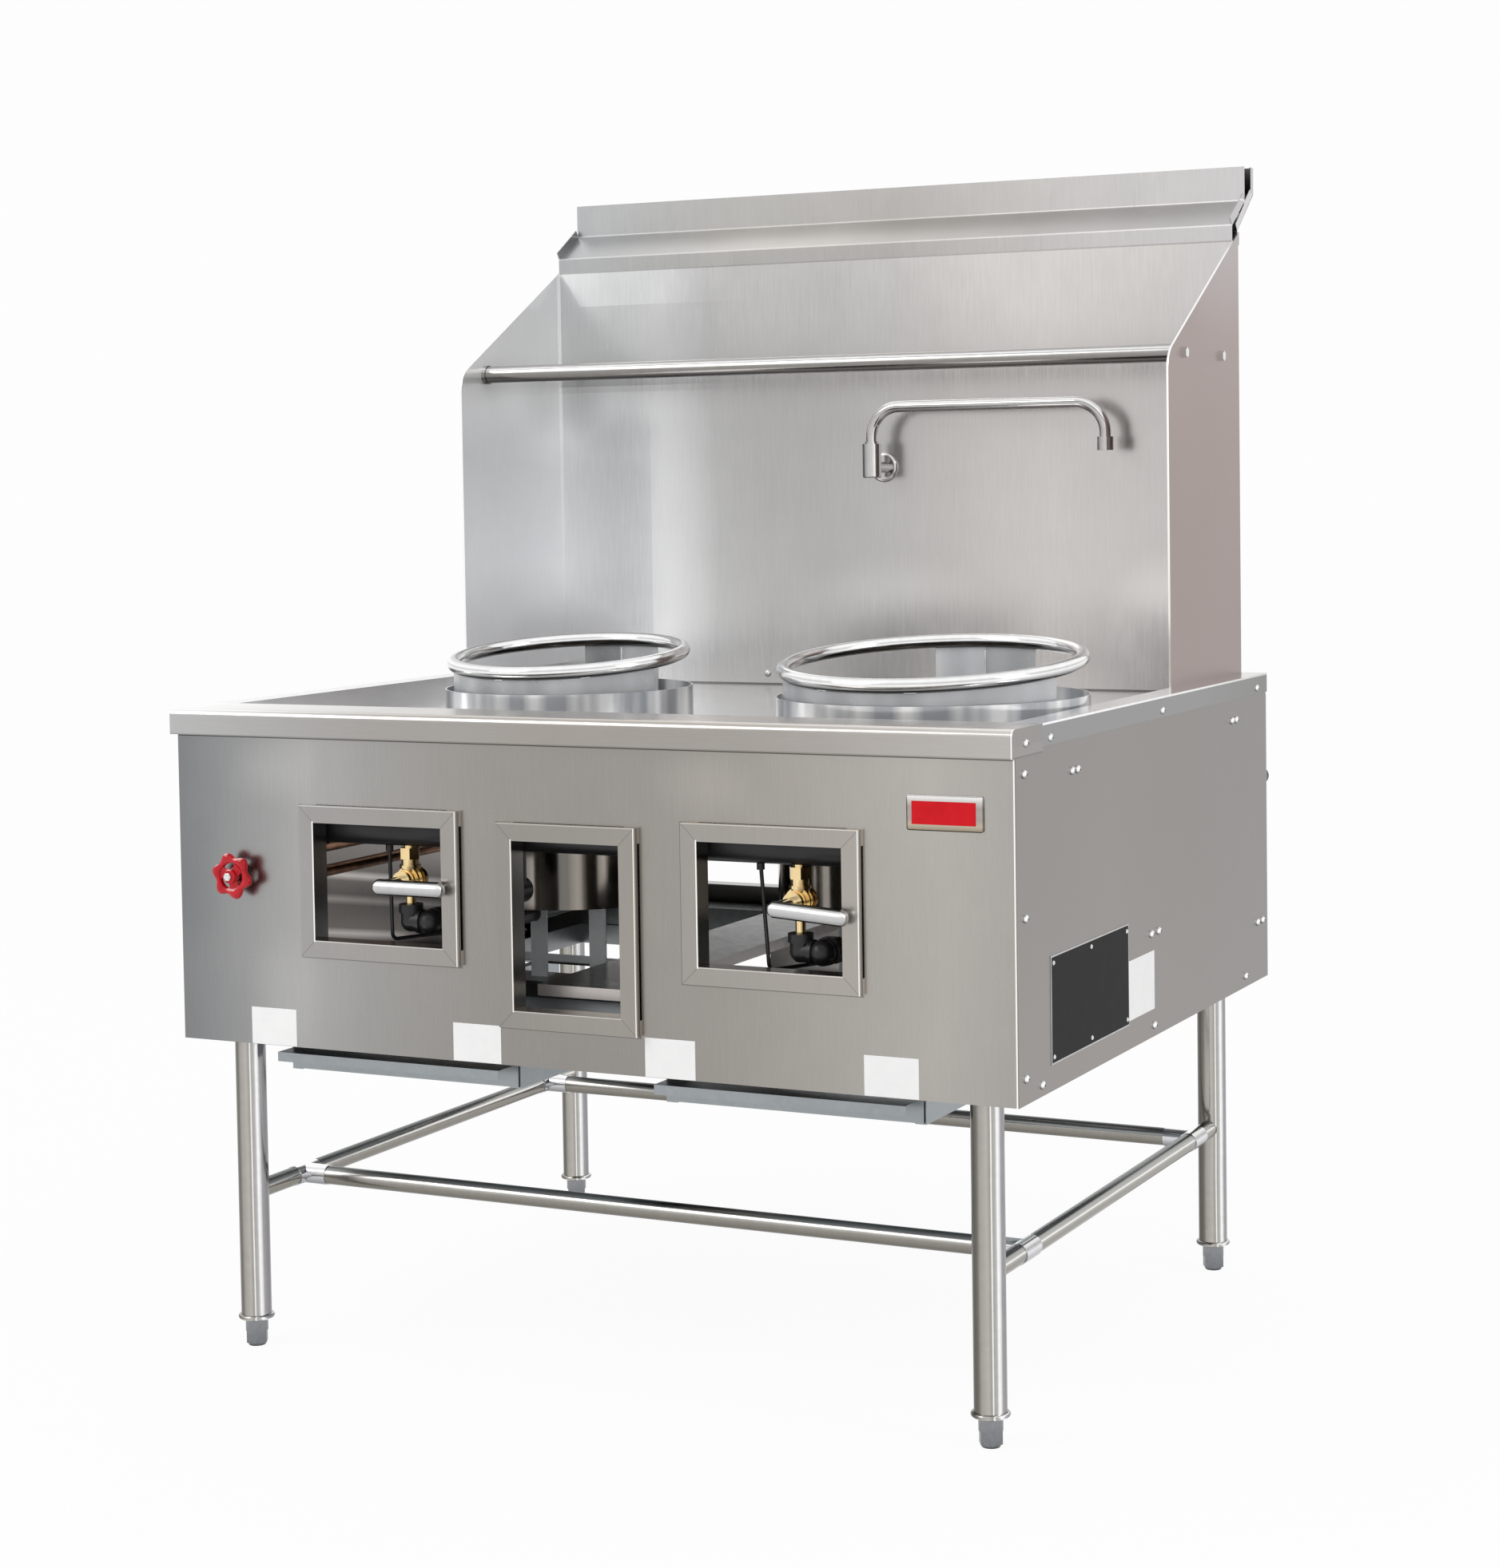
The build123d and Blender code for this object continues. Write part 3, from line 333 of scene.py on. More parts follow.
side_steel = brushed("side_steel", side_reflection_tones, 1, depth_span, rise=side_reflection_rise, extra=inner_side)
dress(side_steel, "brushed_panels", "left_side_panel", "right_side_panel")
rear_tones = [(0.42, 0.417, 0.41), (0.46, 0.455, 0.445)]
rear_steel = brushed("rear_steel", rear_tones, 0, (-600, 600))
dress(rear_steel, "brushed_panels", "rear_panel", "flue_back_sheet")

# ---------------------------------------------------------------- front rail and sunk deck
# The rolled rail along the front and the sunk deck behind it are one brushed stainless top, painted bright
# as a reflection, with ledges along both sides. Its outer skirts and end plates are painted darker, with
# painted highlights along their edges.
deck_top = 850.5
work_height = 880.0
plate_x = 607.8              # the end plates start here
skirt_x = 604.0
rail_reflection_tones = [(0.50, 0.50, 0.50), (0.40, 0.385, 0.365), (0.375, 0.35, 0.322), (0.40, 0.375, 0.348),
              (0.50, 0.475, 0.452)]
nose_painted_bands = [(0.0, 0.5), (0.2, 0.5), (0.5, 0.58), (0.78, 0.64), (0.86, 0.86), (0.93, 0.86), (0.97, 0.66),
              (1.0, 0.70)]


def rail_painted_light(tree, place, facing):
    """A thin painted highlight along the nose, a flat top painted light as a reflection and lighter still at
    its left end, end plates painted darker with painted highlights on their edges, and painted shade along
    the foot.
    """
    x, z = parts(tree, place)[::2]
    across, upward = parts(tree, facing)[::2]
    # painted highlight along the nose and painted reflection on the top
    roll = ramp(tree, upward, nose_painted_bands) * 2.0
    left_top_highlight = 1.0 + levels_along(tree, x, [(-610, 0.45), (-300, 0.0)]) * upward.above(0.5)
    plate = across.above(0.5)
    # painted highlights on the end plates' edges, painted shade on the plates and along the rail's foot
    plate_edge_highlights = x.above(plate_x * MM) * (1.0 - plate) * 1.2
    plate_shade = plate * (0.44 - near(z, rail_bottom + 2, 12.0) * 0.04)
    foot_shade = z.below((rail_bottom + 1.6) * MM) * 0.25
    return roll * left_top_highlight + plate_edge_highlights - plate_shade - foot_shade


rail_steel = brushed("rail_steel", rail_reflection_tones, 0, (-610, 610), grain=0, roughness=0.22, extra=rail_painted_light)
dress(rail_steel, "brushed_panels", "front_rail")
# painted reflections: the deck's tones along its depth
deck_reflection_tones = [(0.90, 0.905, 0.92), (0.84, 0.84, 0.85), (0.78, 0.775, 0.775), (0.56, 0.55, 0.54)]


def deck_skirts(tree, place, facing):
    """Outer skirts painted about as dark as the sides, with a painted highlight along their upper edge."""
    x, z = parts(tree, place)[::2]
    skirt = (x * parts(tree, facing)[0]).above(0.5) * x.math("ABSOLUTE").above(skirt_x * MM)
    # painted shade on the skirts, and a painted highlight along their upper edge
    return 1.0 - skirt * (0.70 - z.above((work_height - 2.8) * MM) * 0.79)


deck_steel = brushed("deck_steel", deck_reflection_tones, 1, depth_span, grain=0, roughness=0.17, extra=deck_skirts)
dress(deck_steel, "brushed_panels", "top_deck")

# ---------------------------------------------------------------- splash and flue mouth
# Tall brushed sheets: two sides with a slanting upper edge, the sheet between them, and the folded mouth of
# the flue on top. The brush ran upright, and their tones are painted reflections. The hems along the sides'
# free edges have painted highlights, and the inside of the flue's mouth is painted dark as shade.
# painted reflections: the splash's tones across it, up its height and in soft areas
splash_reflection_tones = [(0.88, 0.885, 0.89), (0.73, 0.735, 0.74), (0.66, 0.66, 0.665), (0.46, 0.456, 0.453),
                (0.43, 0.425, 0.42), (0.43, 0.42, 0.41), (0.465, 0.455, 0.445), (0.505, 0.488, 0.475),
                (0.555, 0.532, 0.518), (0.585, 0.56, 0.545), (0.565, 0.54, 0.528), (0.545, 0.525, 0.515),
                (0.56, 0.545, 0.54)]
splash_reflection_rise = [(850, 0.60), (940, 0.59), (1060, 0.53), (1160, 0.50), (1300, 0.48), (1380, 0.515),
               (1456, 0.545), (1520, 0.56)]
splash_reflection_patches = [((-540, 1305), (75, 70), -0.30), ((-470, 900), (140, 115), 0.25),
                  ((20, 945), (220, 120), 0.30), ((470, 930), (130, 150), 0.38),
                  ((-470, 1255), (110, 50), -0.10), ((270, 1290), (150, 70), -0.06)]
recess_half = 570            # half the width of the sunk deck and the splash
recess_span = (-recess_half, recess_half)
splash_top = 1516.0
# painted reflection of the flue and of the corner over the splash's left end
shade_low = 1330             # the flue darkens the splash's left end from here up,
shade_middle = 1390          # and most of all round here
corner_low = 1460            # a darker triangle fills the left corner above this,
corner_slant = 0.624         # left of a line that goes left by this much for each mm up,
corner_line = 380.5          # and has this x at the floor
# painted reflection: a paler area
pale_reflection_edge = -405             # a paler area starts here and fades to the right and upwards


def splash_painted_light(tree, place, facing):
    """Painted shadow lines along the foot and under the flue, a painted highlight in the left corner,
    painted upright and level reflections at the left, and soft areas of painted reflection."""
    x, z = parts(tree, place)[::2]
    # painted shadow along the foot and under the flue, and a painted highlight in the left corner
    level = 1.0 - z.below((deck_top + 2.5) * MM) * 0.65 - z.above((splash_top - 2.4) * MM) * 0.3
    level = level + near(x, 1.5 - recess_half, 1.2) * 0.3
    # painted reflections at the left: the flue's, a darker triangle and a paler area
    leftwards = levels_along(tree, x, [(-470, 1.0), (-210, 0.0)])
    flue_reflection_shade = leftwards * (z.above(shade_low * MM) * 0.24 + near(z, shade_middle, 70) * 0.13)
    reflected_triangle = (x + z * corner_slant).below(corner_line * MM) * z.above(corner_low * MM) * 0.13
    glow = x.above(pale_reflection_edge * MM) * levels_along(tree, x, [(pale_reflection_edge, 1.0), (-250, 0.0)])
    glow = glow * levels_along(tree, z, [(1160, 0.13), (1320, 0.0)])
    return (level - flue_reflection_shade - reflected_triangle + glow) * reflection_patches(x, z, splash_reflection_patches)


splash_steel = brushed("splash_steel", splash_reflection_tones, 0, recess_span, roughness=0.24, reflection_cloud=0.07,
                       rise=splash_reflection_rise, extra=splash_painted_light)
dress(splash_steel, "brushed_panels", "splash_panel")


def hem_light_and_shade(tree, place, facing):
    """Painted highlight along the front edge and the slanting upper edge, and painted shade where a sheet
    faces left.
    """
    across, depth = parts(tree, facing)[:2]
    # painted highlight on front-facing edges, painted shade on faces that look left
    return 1.0 + depth.below(-0.3) * 3.0 - across.below(-0.5) * 0.5


side_heights = (work_height, 1530)
# painted reflections: each splash side's tones up its height
left_side_reflection_tones = [(0.80, 0.805, 0.82), (0.86, 0.865, 0.885), (0.74, 0.75, 0.765), (1.0, 1.0, 1.0),
                   (0.77, 0.775, 0.79)]
left_splash_steel = brushed("left_splash_steel", left_side_reflection_tones, 2, side_heights, roughness=0.2, reflection_cloud=0.16,
                            extra=hem_light_and_shade, metal=0.6)
dress(left_splash_steel, "brushed_panels", "left_splash_side")
right_side_reflection_tones = [(0.318, 0.25, 0.234), (0.325, 0.255, 0.238), (0.34, 0.268, 0.25), (0.37, 0.295, 0.28),
                    (0.47, 0.435, 0.435)]
right_splash_steel = brushed("right_splash_steel", right_side_reflection_tones, 2, side_heights, reflection_cloud=0.16, extra=hem_light_and_shade)
dress(right_splash_steel, "brushed_panels", "right_splash_side")
# painted reflections: the flue mouth's tones across its width
cap_reflection_tones = [(0.375, 0.38, 0.385), (0.36, 0.352, 0.34), (0.375, 0.362, 0.347), (0.49, 0.475, 0.465),
             (0.57, 0.56, 0.56)]
slope_painted_light = [(0.04, 0.48), (0.33, 1.0), (0.42, 0.95), (0.72, 0.17), (0.92, 0.0)]
lower_bend, upper_bend = 1538.6, 1578.8
mouth_depth = 1037.5         # the gap between the two sheets starts here, behind the panel's face
gap_shade_low = 1560.0            # the rear sheet is painted dark with shade above this


def flue_mouth(tree, place, facing):
    """Painted highlights along the two bends, painted light on the slope, and painted shade between the two
    sheets.
    """
    x, y, z = parts(tree, place)
    inward, upward = parts(tree, facing)[1:]
    # painted light on the slope, painted highlights along the bends
    slope = upward.above(0.3) * ramp(tree, span_share(x, recess_span), slope_painted_light)
    folds = near(z, lower_bend, 1.2) + near(z, upper_bend, 1.2)
    # painted shade between the two sheets
    front_sheet = y.below((PANEL_Y + mouth_depth) * MM)
    rear_gap_shade = (1.0 - front_sheet) * inward.below(-0.3) * z.above(gap_shade_low * MM)
    gap_shade = front_sheet * inward.above(0.3) + rear_gap_shade
    return (1.0 + folds * 0.5 + slope) * (1.0 - gap_shade * 0.85)


cap_steel = brushed("cap_steel", cap_reflection_tones, 0, recess_span, reflection_cloud=0.1, extra=flue_mouth)
dress(cap_steel, "brushed_panels", "flue_cap_front", "flue_cap_rear")


def set_down(shape, name):
    """Turns a bmesh into an object in the scene."""
    mesh = bpy.data.meshes.new(name)
    shape.to_mesh(mesh)
    shape.free()
    piece = bpy.data.objects.new(name, mesh)
    bpy.context.scene.collection.objects.link(piece)
    return piece


# The rear sheet's end flanges run on down the slope, as a narrow strip at each end.
def side_strip(name, x_range, outline, material):
    """A flat strip that stands upright along the depth, from its outline in depth and height, in mm."""
    shape = bmesh.new()
    near_side, far_side = ([shape.verts.new((x * MM, (PANEL_Y + y) * MM, z * MM)) for y, z in outline]
                           for x in x_range)
    shape.faces.new(near_side)
    shape.faces.new(far_side[::-1])
    for a, b, c, d in zip(near_side, near_side[1:] + near_side[:1], far_side[1:] + far_side[:1], far_side):
        shape.faces.new((a, d, c, b))
    bmesh.ops.recalc_face_normals(shape, faces=shape.faces[:])
    piece = set_down(shape, name)
    piece.data.materials.append(material)
    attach(piece, "range")


flue_end = 569.8
flange_outline = [(998.5, 1531.5), (1078.0, 1591.5), (1066.0, 1597.6), (991.3, 1541.1)]
strip_steel = brushed("strip_steel", [(0.62, 0.60, 0.60), (0.68, 0.66, 0.66)], 0, recess_span, reflection_cloud=0.1)
for side, name in ((-1, "left"), (1, "right")):
    x_range = (side * (flue_end - 1.4), side * (flue_end - 0.1))
    side_strip(name + "_flue_end_strip", x_range, flange_outline, strip_steel)


# ---------------------------------------------------------------- tubes of the stand and the rack
# Polished stainless tube, with painted reflections: clear light and dark bands painted along each tube, by
# the way its surface faces.
def reflection_banded(name, axis, stops, roughness, wander=0.05):
    """Painted reflections: bands across round stock by how far its surface faces along an axis, from -1 to
    1.
    """
    material, tree, place, facing = start_finish(name)
    sway = noise(tree, place, 9.0) - 0.5
    # painted reflections: light and dark bands by the way the surface faces
    share = toward(tree, facing, axis) * 0.5 + 0.5 + sway * wander
    colour = ramp(tree, share, [((reach + 1) / 2, tone) for reach, tone in stops])
    fine = noise(tree, place, 90.0, 3.0) - 0.5
    end_finish(tree, {"Base Color": tinted(tree, colour, 1.0 + fine * 0.18), "Metallic": 1.0,
                      "Roughness": roughness + fine * 0.08, "Normal": bumped(tree, fine, 0.1, 0.05)})
    return material


upright_reflection_bands = [(-0.98, (0.07, 0.067, 0.058)), (-0.72, (0.17, 0.162, 0.142)), (-0.55, (0.37, 0.355, 0.33)),
                 (-0.15, (0.48, 0.455, 0.42)), (0.05, (0.34, 0.323, 0.30)), (0.12, (1.0, 1.0, 0.98)),
                 (0.19, (0.40, 0.39, 0.372)), (0.36, (0.48, 0.47, 0.46)), (0.48, (1.0, 1.0, 1.0)),
                 (0.60, (0.82, 0.82, 0.84)), (0.70, (0.38, 0.376, 0.38)), (0.95, (0.24, 0.23, 0.245))]
upright_steel = reflection_banded("upright_steel", (0.90, 0.435, 0.0), upright_reflection_bands, 0.16, 0.02)
corners = ["front_left", "front_right", "rear_left", "rear_right"]
dress(upright_steel, "polished_steel", *[corner + "_leg" for corner in corners])
rail_reflection_bands = [(-0.95, (0.10, 0.095, 0.085)), (-0.45, (0.22, 0.205, 0.18)), (0.05, (0.30, 0.285, 0.26)),
              (0.28, (0.48, 0.46, 0.43)), (0.40, (1.0, 1.0, 0.98)), (0.52, (0.46, 0.45, 0.43)),
              (0.78, (0.36, 0.36, 0.35)), (0.95, (0.09, 0.10, 0.10))]
level_steel = reflection_banded("level_steel", (0.0, 0.0, 1.0), rail_reflection_bands, 0.2)
dress(level_steel, "polished_steel", "side_rails", "cross_rails")
tee_reflection_bands = [(-0.9, (0.16, 0.165, 0.17)), (-0.2, (0.50, 0.505, 0.52)), (0.2, (0.80, 0.80, 0.82)),
             (0.5, (0.40, 0.40, 0.41)), (0.85, (1.0, 1.0, 1.0))]
dress(reflection_banded("tee_steel", (0.0, 0.0, 1.0), tee_reflection_bands, 0.12), "polished_steel", "rail_tees")
rod_reflection_bands = [(-0.95, (0.08, 0.075, 0.07)), (-0.5, (0.20, 0.19, 0.18)), (0.0, (0.29, 0.28, 0.265)),
             (0.24, (0.33, 0.32, 0.305)), (0.36, (0.75, 0.74, 0.73)), (0.46, (0.45, 0.44, 0.43)),
             (0.60, (1.0, 1.0, 1.0)), (0.72, (0.55, 0.54, 0.53)), (0.95, (0.28, 0.27, 0.26))]
dress(reflection_banded("rod_steel", (0.0, 0.0, 1.0), rod_reflection_bands, 0.2), "polished_steel", "rack_rod")

# ---------------------------------------------------------------- adjustable feet
# Cast and turned stainless feet, duller than the legs, with turned ridges on the shank, and darker towards
# the sole.
ridge_pitch = 1.5
shank_low = 36.9             # the shank starts here, above the foot's cone
foot_tones = [(0.0, (0.07, 0.065, 0.06)), (0.13, (0.20, 0.208, 0.22)), (0.9, (0.27, 0.278, 0.29))]
material, tree, place, facing = start_finish("foot_steel")
z = parts(tree, place)[2]
grit = noise(tree, place, 150.0, 4.0) - 0.5
ridges = (z * (2 * math.pi / (ridge_pitch * MM))).math("SINE") * z.above(shank_low * MM)
tone = ramp(tree, span_share(z, (0, 36)) + grit * 0.1, foot_tones)
end_finish(tree, {"Base Color": tinted(tree, tone, 1.0 + grit * 0.35), "Metallic": 1.0,
                  "Roughness": 0.36 + grit * 0.2,
                  "Normal": bumped(tree, ridges * 0.8 + grit * 0.3, 0.6, 0.4)})
dress(material, "polished_steel", *[corner + "_foot" for corner in corners])

# ---------------------------------------------------------------- wok rings, sleeves and chambers
# The rings are polished round bar with painted reflection bands. The sleeves are dull thin sheet, and the
# chambers' collars above the deck are mirror-like sheet; both have painted reflections in upright bands.
# Below the deck the chambers are tinted darker and browner.
# painted reflections: bands round the wok rings
ring_reflection_bands = [(-0.95, (0.10, 0.10, 0.095)), (-0.55, (0.24, 0.235, 0.23)), (-0.2, (0.62, 0.62, 0.61)),
              (0.1, (0.95, 0.95, 0.95)), (0.3, (0.60, 0.60, 0.595)), (0.55, (1.0, 1.0, 1.0)),
              (0.8, (0.90, 0.90, 0.90)), (0.97, (0.50, 0.50, 0.50))]
ring_steel = reflection_banded("ring_steel", (0.0, 0.0, 1.0), ring_reflection_bands, 0.14)
dress(ring_steel, "polished_steel", "left_wok_ring", "right_wok_ring")


def rolled(name, dark, light, bands, contrast, roughness, below_deck_tint=None, seam=None):
    """Rolled sheet with painted reflections in upright bands by the way that it faces, dull above the deck.
    It may have a darker, browner tint below the deck, and a seam, given by its x, the middle's depth and a
    gain: inside, the sheet left of it is lighter by the gain."""
    material, tree, place, facing = start_finish(name)
    x, y, height = parts(tree, place)
    shine = 1.0 - height.above((deck_top + 0.5) * MM) * (0.8 if seam else 0.55)
    # painted reflections in upright streaks by the way the sheet faces
    reflection_streaks = noise(tree, facing, bands, 1.6)
    middle = tuple((a + b) / 2 for a, b in zip(dark, light))
    colour = ramp(tree, reflection_streaks, [(0.5 - contrast / 2, dark), (0.5, middle), (0.5 + contrast / 2, light)])
    if below_deck_tint:
        tint = levels_along(tree, height, [(600, below_deck_tint), (840, below_deck_tint), (852, 1.0), (900, 1.0)])
        colour = add_node(tree, "ShaderNodeVectorMath", {"operation": "MULTIPLY"}, {0: colour, 1: tint})
    fine = noise(tree, place, 70.0, 3.0) - 0.5
    level = 1.0 + fine * 0.08
    if seam:
        seam_x, middle_depth, gain = seam
        inside = parts(tree, facing)[1].below(-0.75) * y.above((PANEL_Y + middle_depth) * MM)
        level = level * (1.0 + inside * (0.2 + x.below(seam_x * MM) * gain))
    end_finish(tree, {"Base Color": tinted(tree, colour, level), "Metallic": shine,
                      "Roughness": roughness + fine * 0.08, "Normal": bumped(tree, fine, 0.1, 0.05)})
    return material


chamber_steel = rolled("chamber_steel", (0.46, 0.475, 0.50), (1.0, 1.0, 1.0), bands=5.0, contrast=0.20,
                       roughness=0.12, below_deck_tint=(0.36, 0.325, 0.285))
dress(chamber_steel, "polished_steel", "left_chamber", "right_chamber")
# name: the burner's middle in x and depth, the radius of its ring
burners = {"left": (-204.5, 358.5, 160.3), "right": (356.0, 342.5, 196.7)}
for name, seam_x, gain in (("left", -212.5, -0.45), ("right", 351.0, 0.5)):
    sleeve_steel = rolled(name + "_sleeve_steel", (0.40, 0.407, 0.42), (0.62, 0.628, 0.645), bands=3.0,
                          contrast=0.4, roughness=0.26, seam=(seam_x, burners[name][1], gain))
    dress(sleeve_steel, "polished_steel", name + "_sleeve")


# ---------------------------------------------------------------- galvanized sheet
# The trays, their runners, the bottom frame, the burner supports and the flue box are galvanized sheet with
# its fine crystal pattern. The cradles are pale, and the middle shield's top is painted dark as shade.
def galvanized(name, colour, roughness, top=1.0, metal=1.0):
    """Zinc with its crystals. top is the level of the faces that look up, as painted shade."""
    material, tree, place, facing = start_finish(name)
    cells = {"Vector": place, "Scale": 130.0}
    crystal = add_node(tree, "ShaderNodeTexVoronoi", {"feature": "F1"}, cells, 1)
    spangle = add_node(tree, "ShaderNodeSeparateColor", None, {0: crystal}) - 0.5
    haze = noise(tree, place, 9.0, 4.0) - 0.5
    tones = [(0.0, tuple(c * 0.9 for c in colour)), (1.0, tuple(c * 1.1 for c in colour))]
    base = ramp(tree, haze + 0.5, tones)
    # painted shade on the faces that look up, by the level top
    level = (1.0 + spangle * 0.08) * (1.0 - parts(tree, facing)[2].above(0.5) * (1.0 - top))
    end_finish(tree, {"Base Color": tinted(tree, base, level), "Metallic": metal,
                      "Roughness": roughness + spangle * 0.05 + haze * 0.05})
    return material


tray_zinc = galvanized("tray_zinc", (0.33, 0.355, 0.37), 0.34)
dress(tray_zinc, "galvanized", "left_tray", "right_tray", "tray_runners")
frame_zinc = galvanized("frame_zinc", (0.24, 0.25, 0.255), 0.34)
dress(frame_zinc, "galvanized", "base_frame", "rear_channel", "burner_carrier", "flue_box")
dress(galvanized("cradle_zinc", (0.93, 0.97, 1.0), 0.45, metal=0.0), "galvanized", "burner_cradles")
dress(galvanized("shield_zinc", (0.64, 0.60, 0.575), 0.30, top=0.2, metal=0.6), "galvanized", "center_shelf")


# ---------------------------------------------------------------- gas train
# Black iron main, elbows and burner pipes, cast burner heads with hex jets, and yellow brass plug
# valves with turned collars.
def iron(name, colour, roughness, grit):
    """Iron with a sandy skin and darker and lighter blotches."""
    material, tree, place, facing = start_finish(name)
    sand = noise(tree, place, grit, 4.0) - 0.5
    blotch = noise(tree, place, 14.0) - 0.5
    tones = [(0.3, tuple(c * 0.7 for c in colour)), (0.7, tuple(c * 1.5 for c in colour))]
    end_finish(tree, {"Base Color": ramp(tree, blotch + 0.5, tones), "Metallic": 0.3,
                      "Roughness": roughness + sand * 0.2, "Normal": bumped(tree, sand, 0.4, 0.4)})
    return material


black_iron = iron("black_iron", (0.018, 0.018, 0.02), 0.36, 500.0)
dress(black_iron, "black_iron", "gas_manifold", "burner_pipes", "pilot_tubes")
dress(iron("cast_iron", (0.05, 0.048, 0.045), 0.6, 380.0), "cast_burner", "left_burner", "right_burner")


def turned(name, dark, light, roughness):
    """Turned metal, with fine rings left by the tool and darker spots where it was handled."""
    material, tree, place, facing = start_finish(name)
    tool = noise(tree, stretched(tree, place, (60.0, 1400.0, 60.0)), 1.0) - 0.5
    spots = noise(tree, place, 55.0, 3.0)
    base = ramp(tree, spots, [(0.35, dark), (0.65, light)])
    end_finish(tree, {"Base Color": tinted(tree, base, 1.0 + tool * 0.06), "Metallic": 1.0,
                      "Roughness": roughness + tool * 0.06 + (spots - 0.5) * 0.05,
                      "Normal": bumped(tree, tool, 0.06, 0.1)})
    return material


# painted reflections: light and dark bands on the brass valves
brass_reflection_bands = [(-0.95, (0.20, 0.12, 0.045)), (-0.6, (0.55, 0.38, 0.16)), (-0.1, (0.80, 0.59, 0.29)),
               (0.25, (1.0, 0.86, 0.56)), (0.45, (0.84, 0.63, 0.32)), (0.75, (0.95, 0.75, 0.42)),
               (0.97, (0.45, 0.30, 0.12))]
brass = reflection_banded("brass", (0.78, -0.56, 0.28), brass_reflection_bands, 0.2)
dress(brass, "brass_valves", "left_gas_valve", "right_gas_valve")
# painted reflections: a bright highlight band along the levers, darker below
lever_reflection_bands = [(-0.95, (0.12, 0.12, 0.12)), (-0.7, (0.30, 0.30, 0.30)), (-0.35, (0.50, 0.50, 0.505)),
               (0.0, (0.58, 0.58, 0.585)), (0.2, (0.66, 0.66, 0.665)), (0.38, (1.0, 1.0, 1.0)),
               (0.55, (0.95, 0.95, 0.95)), (0.68, (0.60, 0.60, 0.60)), (0.95, (0.42, 0.42, 0.42))]
lever_steel = reflection_banded("lever_steel", (0.0, 0.0, 1.0), lever_reflection_bands, 0.16, 0.02)
dress(lever_steel, "bright_chrome", "left_lever", "right_lever")

# ---------------------------------------------------------------- water valve, pipes and faucet
# A tarnished brass valve behind the panel, copper pipes at the back, and a bright chrome faucet and
# spout over the deck. Chrome also covers the stem, the bolts and the screws.
dress(turned("old_brass", (0.17, 0.14, 0.09), (0.30, 0.25, 0.17), 0.36), "brass_valves", "water_valve")
dress(turned("copper", (0.34, 0.17, 0.10), (0.52, 0.28, 0.17), 0.34), "copper_pipe", "water_pipes")
# painted reflections: light and dark bands up the faucet and spout
chrome_reflection_bands = [(-0.95, (0.14, 0.135, 0.13)), (-0.6, (0.28, 0.27, 0.26)), (-0.3, (0.50, 0.49, 0.48)),
                (0.02, (0.60, 0.59, 0.575)), (0.26, (1.0, 1.0, 0.99)), (0.46, (0.58, 0.57, 0.56)),
                (0.66, (0.90, 0.90, 0.90)), (0.97, (0.42, 0.41, 0.40))]
upright_chrome = reflection_banded("upright_chrome", (0.64, 0.30, 0.707), chrome_reflection_bands, 0.11, 0.02)
dress(upright_chrome, "bright_chrome", "faucet_body", "faucet_spout", "spout_aerator")
chrome = turned("chrome", (0.68, 0.68, 0.68), (0.80, 0.80, 0.80), 0.09)
dress(chrome, "bright_chrome", "handwheel_stem", "rack_bolts", "dome_screws")

# ---------------------------------------------------------------- handwheel
# Six-lobed cast wheel with a fat rounded rim, a web with three openings, and a hub. It was dipped in glossy
# red enamel, which rounds every edge and leaves a slightly wavy skin, and it has painted highlights as pale
# glints on the faces that look up and to the front.
wheel_x, wheel_y, wheel_z = -510.0, PANEL_Y - 18.0, 657.6
lobes = 6
lobe_turn = math.radians(46)         # where the first lobe stands, from the right, seen from the front
rim_reach = 28.5                     # the rim's outside, halfway between a lobe and a hollow
lobe_swell = 3.3
rim_inside = 17.2
rim_half_depth = 5.9
hub_reach, spoke_reach = 7.5, 21.0   # a spoke runs from inside the hub to inside the rim
spoke_half_width = 8.0
web_half_depth = 1.9


def wheel_point(angle, reach, depth):
    return (wheel_x + reach * math.cos(angle), wheel_y + depth, wheel_z + reach * math.sin(angle))


def swept_ring(shape, steps, section):
    """A closed ring. The section gives the reach and the depth of its points at each angle."""
    rows = []
    for i in range(steps):
        angle = 2 * math.pi * i / steps
        points = [wheel_point(angle, reach, depth) for reach, depth in section(angle)]
        rows.append([shape.verts.new([c * MM for c in point]) for point in points])
    for row, following in zip(rows, rows[1:] + rows[:1]):
        for a, b, c, d in zip(row, row[1:] + row[:1], following[1:] + following[:1], following):
            shape.faces.new((a, b, c, d))


def rim_section(angle):
    swell = math.cos(lobes * (angle - lobe_turn))
    outside = rim_reach + lobe_swell * swell
    middle, half = (outside + rim_inside) / 2, (outside - rim_inside) / 2
    half_depth = rim_half_depth + 0.6 * swell
    turns = [2 * math.pi * j / 20 for j in range(20)]
    return [(middle + half * math.cos(turn), half_depth * math.sin(turn)) for turn in turns]


def hub_section(angle):
    return [(4.0, -8.6), (8.2, -8.6), (9.6, -6.6), (9.6, 4.8), (4.0, 4.8)]


def spoke_corners(angle):
    """The corners of a flat bar of the web between two openings, four in the hub and four in the rim."""
    turns = [(-1, -web_half_depth), (1, -web_half_depth), (1, web_half_depth), (-1, web_half_depth)]
    return [wheel_point(angle + side * spoke_half_width / reach, reach, depth)
            for reach in (hub_reach, spoke_reach) for side, depth in turns]


